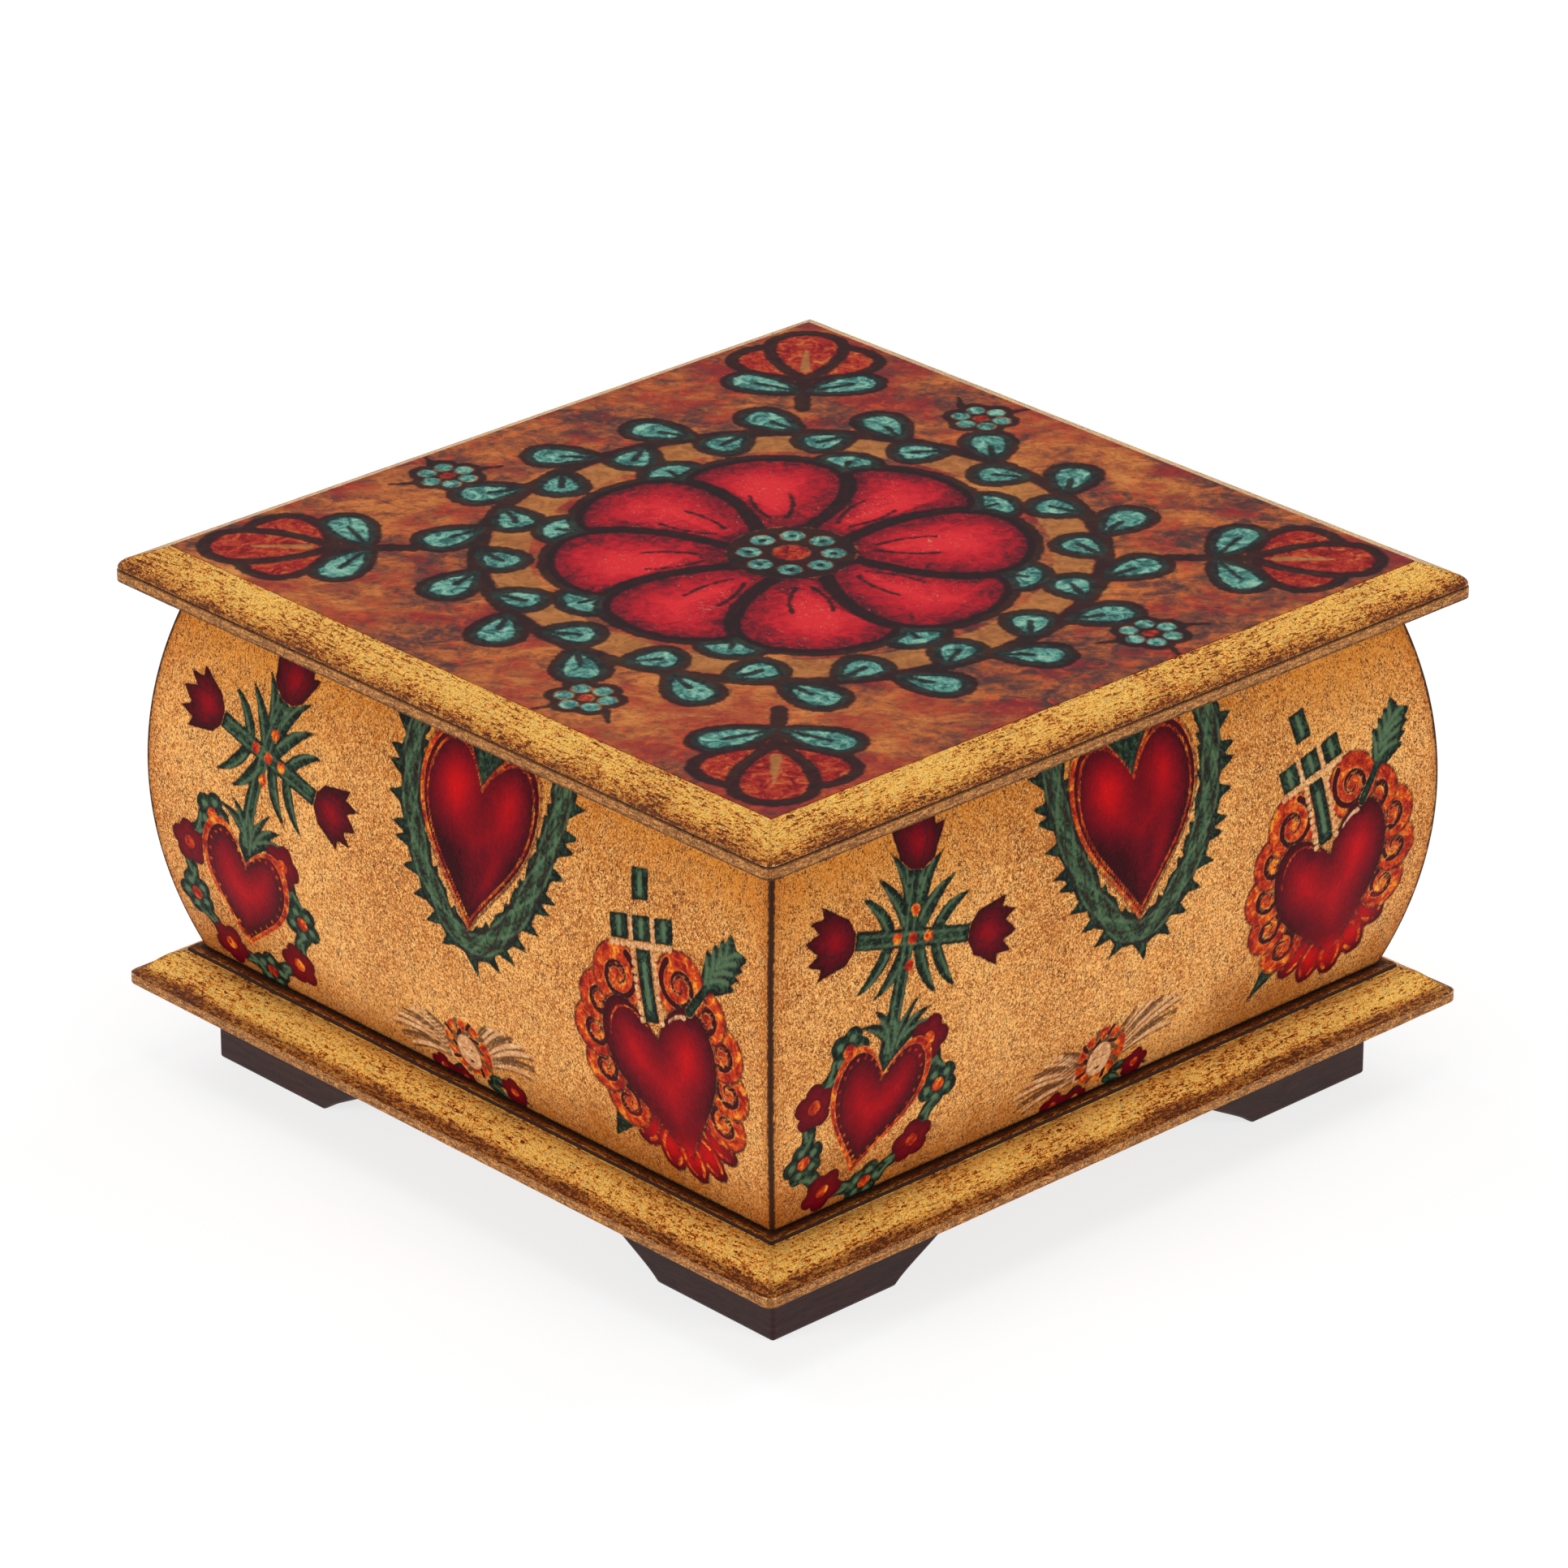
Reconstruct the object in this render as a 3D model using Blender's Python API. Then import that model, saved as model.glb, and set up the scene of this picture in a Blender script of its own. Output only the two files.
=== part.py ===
"""Decoupage keepsake box: a square wooden box with bowed walls, a moulded base board on four
bracket feet, and a moulded lid that lifts off.

Metres, +Z up. The origin is the middle of the box on the surface that it stands on. The front
wall faces -Y, the left wall -X.
"""

import math

import bmesh
import bpy

# The body's plan. Widths are across the whole box.
BODY_WIDTH = 0.1338  # over the walls, at their top and bottom edges
WALL_BULGE = 0.0060  # how far the bowed faces stand out at mid-height
WALL_EDGE = 0.0060  # thickness of a wall at its top and bottom edges
LID_OVERHANG = 0.0091  # the lid's edge past the walls' edges
BASE_OVERHANG = 0.0092  # the base board's edge past the walls' edges
FOOT_SETBACK = 0.0104  # the feet's outer faces in from the base board's edge

# Heights, from the table up
FOOT_HEIGHT = 0.0135
BASE_BOARD = 0.0064
WALL_HEIGHT = 0.0645
LID_BOARD = 0.0061

# The lid's moulded edge, from the print outwards, and its locating step
BEAD_WIDTH = 0.0067
PRINT_LIP = 0.00015  # the print's edge stands this much above the bead
LID_FILLET = 0.0018  # plain upright band at the bottom of the edge
GROOVE_HEIGHT = 0.0005  # the scored line between the bead and the band
GROOVE_DEPTH = 0.0004
STEP_DEPTH = 0.0030  # the step on the underside that drops between the walls
STEP_CLEARANCE = 0.0008  # between the step and the walls, each side

# The base board's moulded edge, from the walls outwards
BASE_STRIP = 0.0020  # level strip beside the walls
QUIRK_DROP = 0.0007  # the small upright step between the strip and the ogee
BASE_FILLET = 0.0017  # plain upright band at the bottom of the edge

# The bracket feet
FOOT_FLAT = 0.0260  # how far a foot rests on the table, along each side
FOOT_LEG = 0.0450  # a foot's whole length along each side, under the base board
FOOT_THICKNESS = 0.0120
FOOT_WEAR = 0.0006  # rounding of the feet's edges

# Wear and joints
CORNER_ROUND = 0.0012  # rounding of the lid's and the base board's outer corners
MITRE_ROUND = 0.0002  # the least rounding, where a moulding's mitre stays crisp
EDGE_WEAR = 0.00025  # small bevel on the boards' lower edges
JOINT_GAP = 0.0003  # left between pieces that touch

# Smoothness
CORNER_STEPS = 5
MOULDING_STEPS = 12
WALL_STEPS = 24
FOOT_STEPS = 8
SMOOTH_ANGLE = math.radians(32)

# Levels and half widths that follow from the sizes above
BASE_UNDER = FOOT_HEIGHT
BASE_TOP = BASE_UNDER + BASE_BOARD
LID_UNDER = BASE_TOP + WALL_HEIGHT
LID_TOP = LID_UNDER + LID_BOARD
WALL_HALF = BODY_WIDTH / 2
INNER_HALF = WALL_HALF - WALL_EDGE
LID_HALF = WALL_HALF + LID_OVERHANG
BASE_HALF = WALL_HALF + BASE_OVERHANG
FOOT_HALF = BASE_HALF - FOOT_SETBACK

# Colour, roughness and metallic value of each finish
FINISHES = {
    "printed_top": ((0.42, 0.13, 0.06), 0.35, 0.0),
    "decoupage_wall": ((0.55, 0.31, 0.13), 0.40, 0.0),
    "antique_gold": ((0.50, 0.27, 0.06), 0.38, 0.6),
    "dark_stain": ((0.035, 0.012, 0.010), 0.50, 0.0),
}


def clear_scene():
    """Removes whatever the file holds, so that only the box is left."""
    for obj in list(bpy.data.objects):
        bpy.data.objects.remove(obj, do_unlink=True)


def finish_material(name):
    """Makes the Principled material of one finish, or returns the one made before."""
    if name in bpy.data.materials:
        return bpy.data.materials[name]
    colour, roughness, metallic = FINISHES[name]
    material = bpy.data.materials.new(name)
    material.use_nodes = True
    shader = material.node_tree.nodes["Principled BSDF"]
    shader.inputs["Base Color"].default_value = (*colour, 1.0)
    shader.inputs["Roughness"].default_value = roughness
    shader.inputs["Metallic"].default_value = metallic
    material.diffuse_color = (*colour, 1.0)
    return material


def add_object(name, mesh):
    """Links a new object that shows the mesh."""
    obj = bpy.data.objects.new(name, mesh)
    bpy.context.scene.collection.objects.link(obj)
    return obj


def finished_mesh(name, bm, finish):
    """Turns a bmesh into a mesh with outward faces, smooth curves and its finish."""
    bmesh.ops.recalc_face_normals(bm, faces=bm.faces)
    mesh = bpy.data.meshes.new(name)
    bm.to_mesh(mesh)
    bm.free()
    mesh.shade_smooth()
    mesh.set_sharp_from_angle(angle=SMOOTH_ANGLE)
    mesh.materials.append(finish_material(finish))
    return mesh


def curve_points(start, start_handle, end_handle, end, steps):
    """Points along a Bezier curve in the plane, both ends included."""
    points = []
    for i in range(steps + 1):
        t = i / steps
        weights = ((1 - t) ** 3, 3 * t * (1 - t) ** 2, 3 * t * t * (1 - t), t**3)
        corners = (start, start_handle, end_handle, end)
        points.append(tuple(sum(w * p[axis] for w, p in zip(weights, corners)) for axis in (0, 1)))
    return points


def square_loop(bm, half, z, outer_half):
    """Adds a level square of vertices, anticlockwise, rounder the nearer it is to the outer edge."""
    radius = max(MITRE_ROUND, CORNER_ROUND - (outer_half - half))
    verts = []
    for corner, (side_x, side_y) in enumerate(((1, 1), (-1, 1), (-1, -1), (1, -1))):
        centre_x = side_x * (half - radius)
        centre_y = side_y * (half - radius)
        for i in range(CORNER_STEPS + 1):
            angle = math.pi / 2 * (corner + i / CORNER_STEPS)
            x = centre_x + radius * math.cos(angle)
            y = centre_y + radius * math.sin(angle)
            verts.append(bm.verts.new((x, y, z)))
    return verts


def moulded_board(name, profile, outer_half, finish):
    """Makes a square board whose edge follows the profile, (half width, z) from below to above."""
    bm = bmesh.new()
    loops = [square_loop(bm, half, z, outer_half) for half, z in profile]
    for lower, upper in zip(loops, loops[1:]):
        for i in range(len(lower)):
            j = (i + 1) % len(lower)
            bm.faces.new((lower[i], lower[j], upper[j], upper[i]))
    bm.faces.new(list(reversed(loops[0])))
    bm.faces.new(loops[-1])
    return add_object(name, finished_mesh(name, bm, finish))


def lid_profile():
    """The lid's edge, from the locating step on its underside up and in to the print."""
    step_half = INNER_HALF - STEP_CLEARANCE
    band_top = LID_UNDER + LID_FILLET
    print_half = LID_HALF - BEAD_WIDTH
    bead_foot = (LID_HALF - GROOVE_DEPTH / 4, band_top + GROOVE_HEIGHT)
    bead_top = (print_half + PRINT_LIP, LID_TOP - PRINT_LIP)
    width = bead_foot[0] - bead_top[0]
    drop = bead_top[1] - bead_foot[1]
    bead = curve_points(
        bead_foot,
        (bead_foot[0] - 0.02 * width, bead_foot[1] + 0.34 * drop),
        (bead_top[0] + 0.46 * width, bead_top[1] - 0.37 * drop),
        bead_top,
        MOULDING_STEPS,
    )
    return [
        (step_half - EDGE_WEAR, LID_UNDER - STEP_DEPTH),
        (step_half, LID_UNDER - STEP_DEPTH + EDGE_WEAR),
        (step_half, LID_UNDER),
        (LID_HALF - EDGE_WEAR, LID_UNDER),
        (LID_HALF, LID_UNDER + EDGE_WEAR),
        (LID_HALF, band_top),
        (LID_HALF - GROOVE_DEPTH, band_top + GROOVE_HEIGHT / 2),
        *bead,
        (print_half, LID_TOP),
    ]


def base_profile():
    """The base board's edge: a plain band, then an ogee up to the strip beside the walls."""
    strip_half = WALL_HALF + BASE_STRIP
    band_top = (BASE_HALF, BASE_UNDER + BASE_FILLET)
    ogee_top = (strip_half + QUIRK_DROP / 4, BASE_TOP - QUIRK_DROP)
    width = band_top[0] - ogee_top[0]
    drop = ogee_top[1] - band_top[1]
    ogee = curve_points(
        band_top,
        (band_top[0] - 0.40 * width, band_top[1] + 0.10 * drop),
        (ogee_top[0] + 0.50 * width, ogee_top[1] - 0.05 * drop),
        ogee_top,
        MOULDING_STEPS,
    )
    return [
        (BASE_HALF - EDGE_WEAR, BASE_UNDER),
        (BASE_HALF, BASE_UNDER + EDGE_WEAR),
        *ogee,
        (strip_half, BASE_TOP),
    ]


def wall_face(z_share):
    """Distance of a bowed face from the middle of the box, at a share of the wall's height."""
    radius = ((WALL_HEIGHT / 2) ** 2 + WALL_BULGE**2) / (2 * WALL_BULGE)
    rise = (z_share - 0.5) * WALL_HEIGHT
    return WALL_HALF + WALL_BULGE - radius + math.sqrt(radius**2 - rise**2)


def wall_mesh():
    """Makes the front wall: bowed outside, flat inside, its ends cut to a mitre."""
    bottom = BASE_TOP + JOINT_GAP
    height = WALL_HEIGHT - 2 * JOINT_GAP
    outline = [(INNER_HALF, bottom + height), (INNER_HALF, bottom)]
    for i in range(WALL_STEPS + 1):
        share = i / WALL_STEPS
        outline.append((wall_face(share), bottom + height * share))
    mitre_gap = JOINT_GAP / math.sqrt(2)
    bm = bmesh.new()
    left_end = [bm.verts.new((mitre_gap - half, -half, z)) for half, z in outline]
    right_end = [bm.verts.new((half - mitre_gap, -half, z)) for half, z in outline]
    for i in range(len(outline)):
        j = (i + 1) % len(outline)
        bm.faces.new((left_end[i], left_end[j], right_end[j], right_end[i]))
    bm.faces.new(list(reversed(left_end)))
    bm.faces.new(right_end)
    return finished_mesh("wall", bm, "decoupage_wall")


def build_walls():
    """Places the four walls, which share one mesh."""
    mesh = wall_mesh()
    for quarter, side in enumerate(("front", "right", "back", "left")):
        wall = add_object(f"wall_{side}", mesh)
        wall.rotation_euler.z = quarter * math.pi / 2


def foot_end_outline(top):
    """The end of a foot's leg, (distance along the side, z), from the table up to its top."""
    rise = top
    run = FOOT_LEG - FOOT_FLAT
    return curve_points(
        (FOOT_FLAT, 0.0),
        (FOOT_FLAT + 0.16 * run, 0.23 * rise),
        (FOOT_FLAT + 0.68 * run, 0.45 * rise),
        (FOOT_LEG, top),
        FOOT_STEPS,
    )


def foot_mesh():
    """Makes one L-shaped bracket foot with its outer corner at x = y = 0, reaching to +X and +Y."""
    top = FOOT_HEIGHT - JOINT_GAP
    outline = foot_end_outline(top)
    bm = bmesh.new()

    def leg_loop(place):
        return [bm.verts.new(place(s, z)) for s, z in outline]

    outer_x = leg_loop(lambda s, z: (s, 0.0, z))
    inner_x = leg_loop(lambda s, z: (s, FOOT_THICKNESS, z))
    outer_y = leg_loop(lambda s, z: (0.0, s, z))
    inner_y = leg_loop(lambda s, z: (FOOT_THICKNESS, s, z))
    outer_corner = [bm.verts.new((0.0, 0.0, z)) for z in (0.0, top)]
    inner_corner = [bm.verts.new((FOOT_THICKNESS, FOOT_THICKNESS, z)) for z in (0.0, top)]
    for side, corner in (
        (outer_x, outer_corner),
        (inner_x, inner_corner),
        (outer_y, outer_corner),
        (inner_y, inner_corner),
    ):
        bm.faces.new((corner[0], *side, corner[1]))
    for outer, inner in ((outer_x, inner_x), (outer_y, inner_y)):
        for i in range(FOOT_STEPS):
            bm.faces.new((outer[i], outer[i + 1], inner[i + 1], inner[i]))
        for level, point in ((0, 0), (1, FOOT_STEPS)):
            bm.faces.new((outer_corner[level], outer[point], inner[point], inner_corner[level]))
    return finished_mesh("foot", bm, "dark_stain")


def build_feet():
    """Places a bracket foot under each corner of the base board, the four sharing one mesh."""
    mesh = foot_mesh()
    corners = ("front_left", "front_right", "back_right", "back_left")
    for quarter, corner in enumerate(corners):
        angle = quarter * math.pi / 2
        foot = add_object(f"foot_{corner}", mesh)
        foot.rotation_euler.z = angle
        foot.location.x = -FOOT_HALF * (math.cos(angle) - math.sin(angle))
        foot.location.y = -FOOT_HALF * (math.sin(angle) + math.cos(angle))
        bevel = foot.modifiers.new("worn edges", "BEVEL")
        bevel.width = FOOT_WEAR
        bevel.segments = 2
        bevel.limit_method = "ANGLE"
        bevel.angle_limit = math.radians(40)


def main():
    """Builds the box from the table up."""
    clear_scene()
    build_feet()
    moulded_board("base_board", base_profile(), BASE_HALF, "antique_gold")
    build_walls()
    moulded_board("lid", lid_profile(), LID_HALF, "printed_top")


main()
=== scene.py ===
"""Decoupage keepsake box: bowed painted walls, gold moulded boards, a printed lid and bracket feet.

Solids are sized in metres. Drawings on a print are sized in millimetres, and say so.
"""
import logging
import math
from dataclasses import dataclass
from enum import Enum
from typing import Callable, Iterable, Sequence

import bmesh
import bpy
import numpy as np
from mathutils import Matrix, Vector


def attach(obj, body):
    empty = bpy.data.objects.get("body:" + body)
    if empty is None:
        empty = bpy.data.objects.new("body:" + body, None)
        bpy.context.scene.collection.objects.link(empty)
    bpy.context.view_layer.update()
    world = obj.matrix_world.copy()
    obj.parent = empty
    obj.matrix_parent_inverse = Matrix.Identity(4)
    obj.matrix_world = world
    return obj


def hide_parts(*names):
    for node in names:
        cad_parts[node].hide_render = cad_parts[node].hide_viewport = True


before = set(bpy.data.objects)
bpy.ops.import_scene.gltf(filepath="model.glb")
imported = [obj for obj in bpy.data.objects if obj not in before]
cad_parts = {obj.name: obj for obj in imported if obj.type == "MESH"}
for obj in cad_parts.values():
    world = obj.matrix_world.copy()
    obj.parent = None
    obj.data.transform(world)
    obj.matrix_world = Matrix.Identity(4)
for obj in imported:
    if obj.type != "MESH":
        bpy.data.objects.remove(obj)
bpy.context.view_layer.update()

LOG = logging.getLogger("keepsake_box")
BODY = "root"
MM = 0.001
COS_45 = math.cos(math.pi / 4)
# Points closer together than this are joined.
WELD = 0.002 * MM
# Keeps a divisor from being zero.
TINY = 1e-12
Colour = tuple[float, float, float, float]
Tones = tuple[tuple[float, Colour], ...]
Point = tuple[float, float]


# Colour helpers


def linear(red: float, green: float, blue: float) -> Colour:
    """Turns a colour of 0 to 255 per channel, as seen, into Blender's linear colour.

    Args:
        red: red, 0 to 255.
        green: green, 0 to 255.
        blue: blue, 0 to 255.

    Returns:
        The linear colour with an alpha of 1.
    """
    channels = []
    for value in (red / 255, green / 255, blue / 255):
        channels.append(value / 12.92 if value <= 0.04045 else ((value + 0.055) / 1.055) ** 2.4)
    return (channels[0], channels[1], channels[2], 1.0)


# Node writing


class NodeWriter:
    """Adds nodes to one tree and joins their sockets."""

    def __init__(self, tree: bpy.types.NodeTree) -> None:
        """Keeps the tree that the nodes go into."""
        self.tree = tree

    def feed(self, socket: bpy.types.NodeSocket, value: object) -> None:
        """Links a socket to the input, or sets the input to a plain value.

        Args:
            socket: the input to feed.
            value: an output socket, or a number, vector, colour or datablock.
        """
        if isinstance(value, bpy.types.NodeSocket):
            self.tree.links.new(value, socket)
        else:
            socket.default_value = value

    def add(self, kind: str, values: dict[str, object] | None = None, **settings: object) -> bpy.types.Node:
        """Adds one node.

        Args:
            kind: the node's type name.
            values: what goes into its inputs, by socket name.
            **settings: the node's own settings.

        Returns:
            The new node.
        """
        node = self.tree.nodes.new(kind)
        for name, setting in settings.items():
            setattr(node, name, setting)
        for name, value in (values or {}).items():
            self.feed(next(s for s in node.inputs if s.name == name and s.enabled), value)
        return node

    def math(self, operation: str, *values: object, clamp: bool = False) -> bpy.types.NodeSocket:
        """Adds a Math node and returns its result.

        Args:
            operation: Blender's name of the operation.
            *values: sockets or numbers, in order.
            clamp: True to keep the result within 0 and 1.

        Returns:
            The output socket.
        """
        node = self.add("ShaderNodeMath", operation=operation, use_clamp=clamp)
        for socket, value in zip(node.inputs, values):
            self.feed(socket, value)
        return node.outputs[0]

    def total(self, *terms: object) -> bpy.types.NodeSocket:
        """Adds the terms together, each a socket, a number or a (socket, weight) pair.

        Args:
            *terms: what is added, in order.

        Returns:
            The sum.
        """
        result = None
        for term in terms:
            value = self.math("MULTIPLY", term[0], term[1]) if isinstance(term, tuple) else term
            result = value if result is None else self.math("ADD", result, value)
        return result

    def vector(self, x: object, y: object, z: object) -> bpy.types.NodeSocket:
        """Joins three values to one vector."""
        return self.add("ShaderNodeCombineXYZ", {"X": x, "Y": y, "Z": z}).outputs[0]

    def parts(self, vector: bpy.types.NodeSocket) -> Sequence[bpy.types.NodeSocket]:
        """Splits a vector into its X, Y and Z."""
        return self.add("ShaderNodeSeparateXYZ", {"Vector": vector}).outputs

    def noise(
        self,
        place: bpy.types.NodeSocket,
        size: float,
        detail: float = 3.0,
        roughness: float = 0.55,
        distortion: float = 0.0,
    ) -> bpy.types.NodeSocket:
        """Adds a noise pattern.

        Args:
            place: the coordinates that it is read at.
            size: the size of its largest features, in the unit of the coordinates.
            detail: how many finer octaves it has.
            roughness: how strong those are.
            distortion: how far it is stirred, which makes its features wormy.

        Returns:
            The pattern, about 0 to 1 with a mean of 0.5.
        """
        values = {
            "Vector": place,
            "Scale": 1.0 / size,
            "Detail": detail,
            "Roughness": roughness,
            "Distortion": distortion,
        }
        return self.add("ShaderNodeTexNoise", values).outputs[0]


class Painter(NodeWriter):
    """Writes the nodes of one painted or stained finish."""

    def __init__(self, name: str) -> None:
        """Starts an empty material of that name.

        Args:
            name: what the finish is called.
        """
        self.material = bpy.data.materials.new(name)
        self.material.use_nodes = True
        super().__init__(self.material.node_tree)
        self.shader = self.tree.nodes["Principled BSDF"]
        self.place = self.add("ShaderNodeTexCoord").outputs["Object"]

    def step(self, value: object, low: float, high: float) -> bpy.types.NodeSocket:
        """Rises softly from 0 at low to 1 at high.

        Args:
            value: what is measured.
            low: where the rise starts.
            high: where it ends, which may be under low for a fall.

        Returns:
            The result, 0 to 1.
        """
        values = {"Value": value, "From Min": low, "From Max": high}
        return self.add("ShaderNodeMapRange", values, interpolation_type="SMOOTHSTEP").outputs[0]

    def mix(self, share: object, below: object, above: object, how: str = "MIX") -> bpy.types.NodeSocket:
        """Lays one colour over another.

        Args:
            share: how much of the upper colour shows, 0 to 1, or a (socket, weight) pair.
            below: the lower colour.
            above: the upper colour.
            how: Blender's name of the blend.

        Returns:
            The mixed colour.
        """
        if isinstance(share, tuple):
            share = self.math("MULTIPLY", *share)
        node = self.add("ShaderNodeMix", data_type="RGBA", blend_type=how)
        for index, value in ((0, share), (6, below), (7, above)):
            self.feed(node.inputs[index], value)
        return node.outputs[2]

    def ramp(self, value: object, stops: Tones) -> bpy.types.NodeSocket:
        """Turns a value into a colour.

        Args:
            value: what is looked up.
            stops: (value, colour) pairs in rising order.

        Returns:
            The colour.
        """
        node = self.add("ShaderNodeValToRGB")
        elements = node.color_ramp.elements
        while len(elements) < len(stops):
            elements.new(0.5)
        for element, (position, colour) in zip(elements, stops):
            element.position = position
            element.color = colour
        self.feed(node.inputs[0], value)
        return node.outputs[0]

    def kept(self, name: str) -> bpy.types.NodeSocket:
        """Reads a value that the mesh keeps at its points."""
        return self.add("ShaderNodeAttribute", attribute_name=name).outputs["Fac"]

    def kept_vector(self, name: str) -> bpy.types.NodeSocket:
        """Reads a vector that the mesh keeps at its points."""
        return self.add("ShaderNodeAttribute", attribute_name=name).outputs["Vector"]

    def stretched(self, x: float, y: float, z: float) -> bpy.types.NodeSocket:
        """The object coordinates, each multiplied, so that a pattern is drawn out along the least.

        Args:
            x: factor along X.
            y: factor along Y.
            z: factor along Z.

        Returns:
            The scaled coordinates.
        """
        values = {"Vector": self.place, "Scale": (x, y, z)}
        return self.add("ShaderNodeMapping", values).outputs[0]

    def surface(
        self,
        colour: object,
        roughness: object,
        relief: tuple[object, float],
        gloss: float,
        metal: object = 0.0,
    ) -> bpy.types.Material:
        """Feeds the shader and ends the finish.

        Args:
            colour: base colour.
            roughness: roughness.
            relief: the relief, 0 to 1, and how deep it is in metres.
            gloss: how strongly the varnish mirrors.
            metal: how metallic it is.

        Returns:
            The material.
        """
        bump = self.add("ShaderNodeBump", {"Height": relief[0], "Distance": relief[1], "Strength": 1.0})
        fed = {
            "Base Color": colour,
            "Roughness": roughness,
            "Metallic": metal,
            "Specular IOR Level": gloss,
            "Normal": bump.outputs[0],
        }
        for name, value in fed.items():
            self.feed(self.shader.inputs[name], value)
        return self.material


# Finishes


@dataclass(frozen=True)
class StainFinish:
    """Stained bare wood with a fine grain, used for the feet and for what lies inside."""

    name: str
    dark: Colour
    light: Colour
    pore: Colour
    roughness: float
    gloss: float

    def material(self) -> bpy.types.Material:
        """Writes the stain's nodes.

        Returns:
            The material.
        """
        p = Painter(self.name)
        grain = p.noise(p.stretched(1.0, 1.0, 7.0), 6.0 * MM, 5.0, 0.62, 0.6)
        pores = p.noise(p.stretched(0.35, 0.35, 2.2), 0.5 * MM, 2.0, 0.6)
        blotch = p.noise(p.place, 14.0 * MM, 3.0)
        tone = p.total((grain, 0.75), (blotch, 0.35), -0.05)
        colour = p.ramp(tone, ((0.28, self.dark), (0.66, self.light)))
        colour = p.mix((p.step(pores, 0.56, 0.68), 0.55), colour, self.pore)
        roughness = p.total(self.roughness, (p.math("SUBTRACT", blotch, 0.5), 0.35))
        height = p.total((grain, 0.5), (pores, -0.5), 0.5)
        return p.surface(colour, roughness, (height, 0.09 * MM), self.gloss)


@dataclass(frozen=True)
class GoldFinish:
    """Gold paint over wood, antiqued: dark glazing in the grooves, rubbed arrises, a satin varnish, and
    painted shade darkening the coves, the lower halves of beads and the strip beside the walls.
    """

    name: str = "antique_gold_paint"
    brown: Colour = linear(92, 40, 10)
    golds: Tones = ((0.345, brown), (0.450, linear(224, 112, 16)), (0.575, linear(255, 200, 94)))
    tans: Tones = ((0.40, linear(164, 94, 42)), (0.52, linear(250, 176, 92)))
    glaze_and_painted_shade: Colour = linear(44, 20, 10)
    speck: Colour = linear(70, 34, 14)
    glint: Colour = linear(255, 230, 152)
    rubbed: Colour = linear(250, 214, 160)
    worn_corner: Point = (73.6 * MM, 75.4 * MM)

    def material(self) -> bpy.types.Material:
        """Writes the nodes. The mesh keeps `wear` (glaze, dull, rubbed), where glazing and dullness are
        partly painted shade, and `track` (along, across, side).

        Returns:
            The material.
        """
        p = Painter(self.name)
        glaze_and_painted_shade, dull_and_painted_shade, rubbed = p.parts(p.kept_vector("wear"))
        along, across, side = p.parts(p.kept_vector("track"))
        brushed = p.vector(p.math("MULTIPLY", along, 0.22), across, p.math("MULTIPLY", side, 0.05))
        streak = p.noise(brushed, 0.40 * MM, 4.0, 0.66, 0.9)
        dabs = p.noise(p.place, 0.46 * MM, 3.0, 0.66, 1.0)
        fleck = p.noise(p.place, 0.30 * MM, 2.0, 0.6, 1.4)
        broad = p.noise(p.place, 11.0 * MM, 2.0)
        # Dullness darkens the tone: the tan fillets' own paint, and painted shade on the beads' lower
        # halves and in the coves.
        tone = p.total((dabs, 0.95), (streak, 1.50), (fleck, 0.75), (broad, 0.4), (dull_and_painted_shade, -0.34), -1.23)
        colour = p.ramp(tone, self.golds)
        glints = p.step(p.total((fleck, 0.50), (streak, 0.50), (dull_and_painted_shade, -0.10)), 0.545, 0.585)
        colour = p.mix((glints, 0.82), colour, self.glint)
        tan = p.ramp(p.total((dabs, 0.6), (streak, 0.4)), self.tans)
        colour = p.mix((p.step(dull_and_painted_shade, 0.70, 0.92), 0.85), colour, tan)
        lines = p.step(p.total(streak, (dull_and_painted_shade, 0.10)), 0.56, 0.64)
        colour = p.mix((lines, p.total(0.34, (dull_and_painted_shade, 0.40))), colour, self.brown)
        specks = p.step(p.total(fleck, (dull_and_painted_shade, 0.05)), 0.585, 0.64)
        colour = p.mix((specks, 0.84), colour, self.speck)
        # Glazing darkens hollows: dark patina in the grooves, and painted shade in the coves and on the
        # strip beside the walls.
        dark = p.step(p.total(glaze_and_painted_shade, (p.math("SUBTRACT", dabs, 0.5), 1.1)), 0.34, 0.78)
        colour = p.mix(dark, colour, self.glaze_and_painted_shade)
        corner = p.step(p.math("ABSOLUTE", along), *self.worn_corner)
        worn = p.step(p.total(rubbed, (corner, 0.42), (p.math("SUBTRACT", fleck, 0.5), 1.6)), 0.55, 0.95)
        colour = p.mix((worn, 0.8), colour, self.rubbed)
        roughness = p.total(0.31, (dull_and_painted_shade, 0.20), (dark, 0.25), (p.math("SUBTRACT", dabs, 0.5), 0.3))
        metal = p.math("SUBTRACT", p.total(0.60, (dull_and_painted_shade, -0.45)), p.math("MULTIPLY", dark, 0.5), clamp=True)
        height = p.total((dabs, 0.55), (streak, 0.35), (fleck, 0.25))
        return p.surface(colour, roughness, (height, 0.34 * MM), 0.2, metal)


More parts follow.
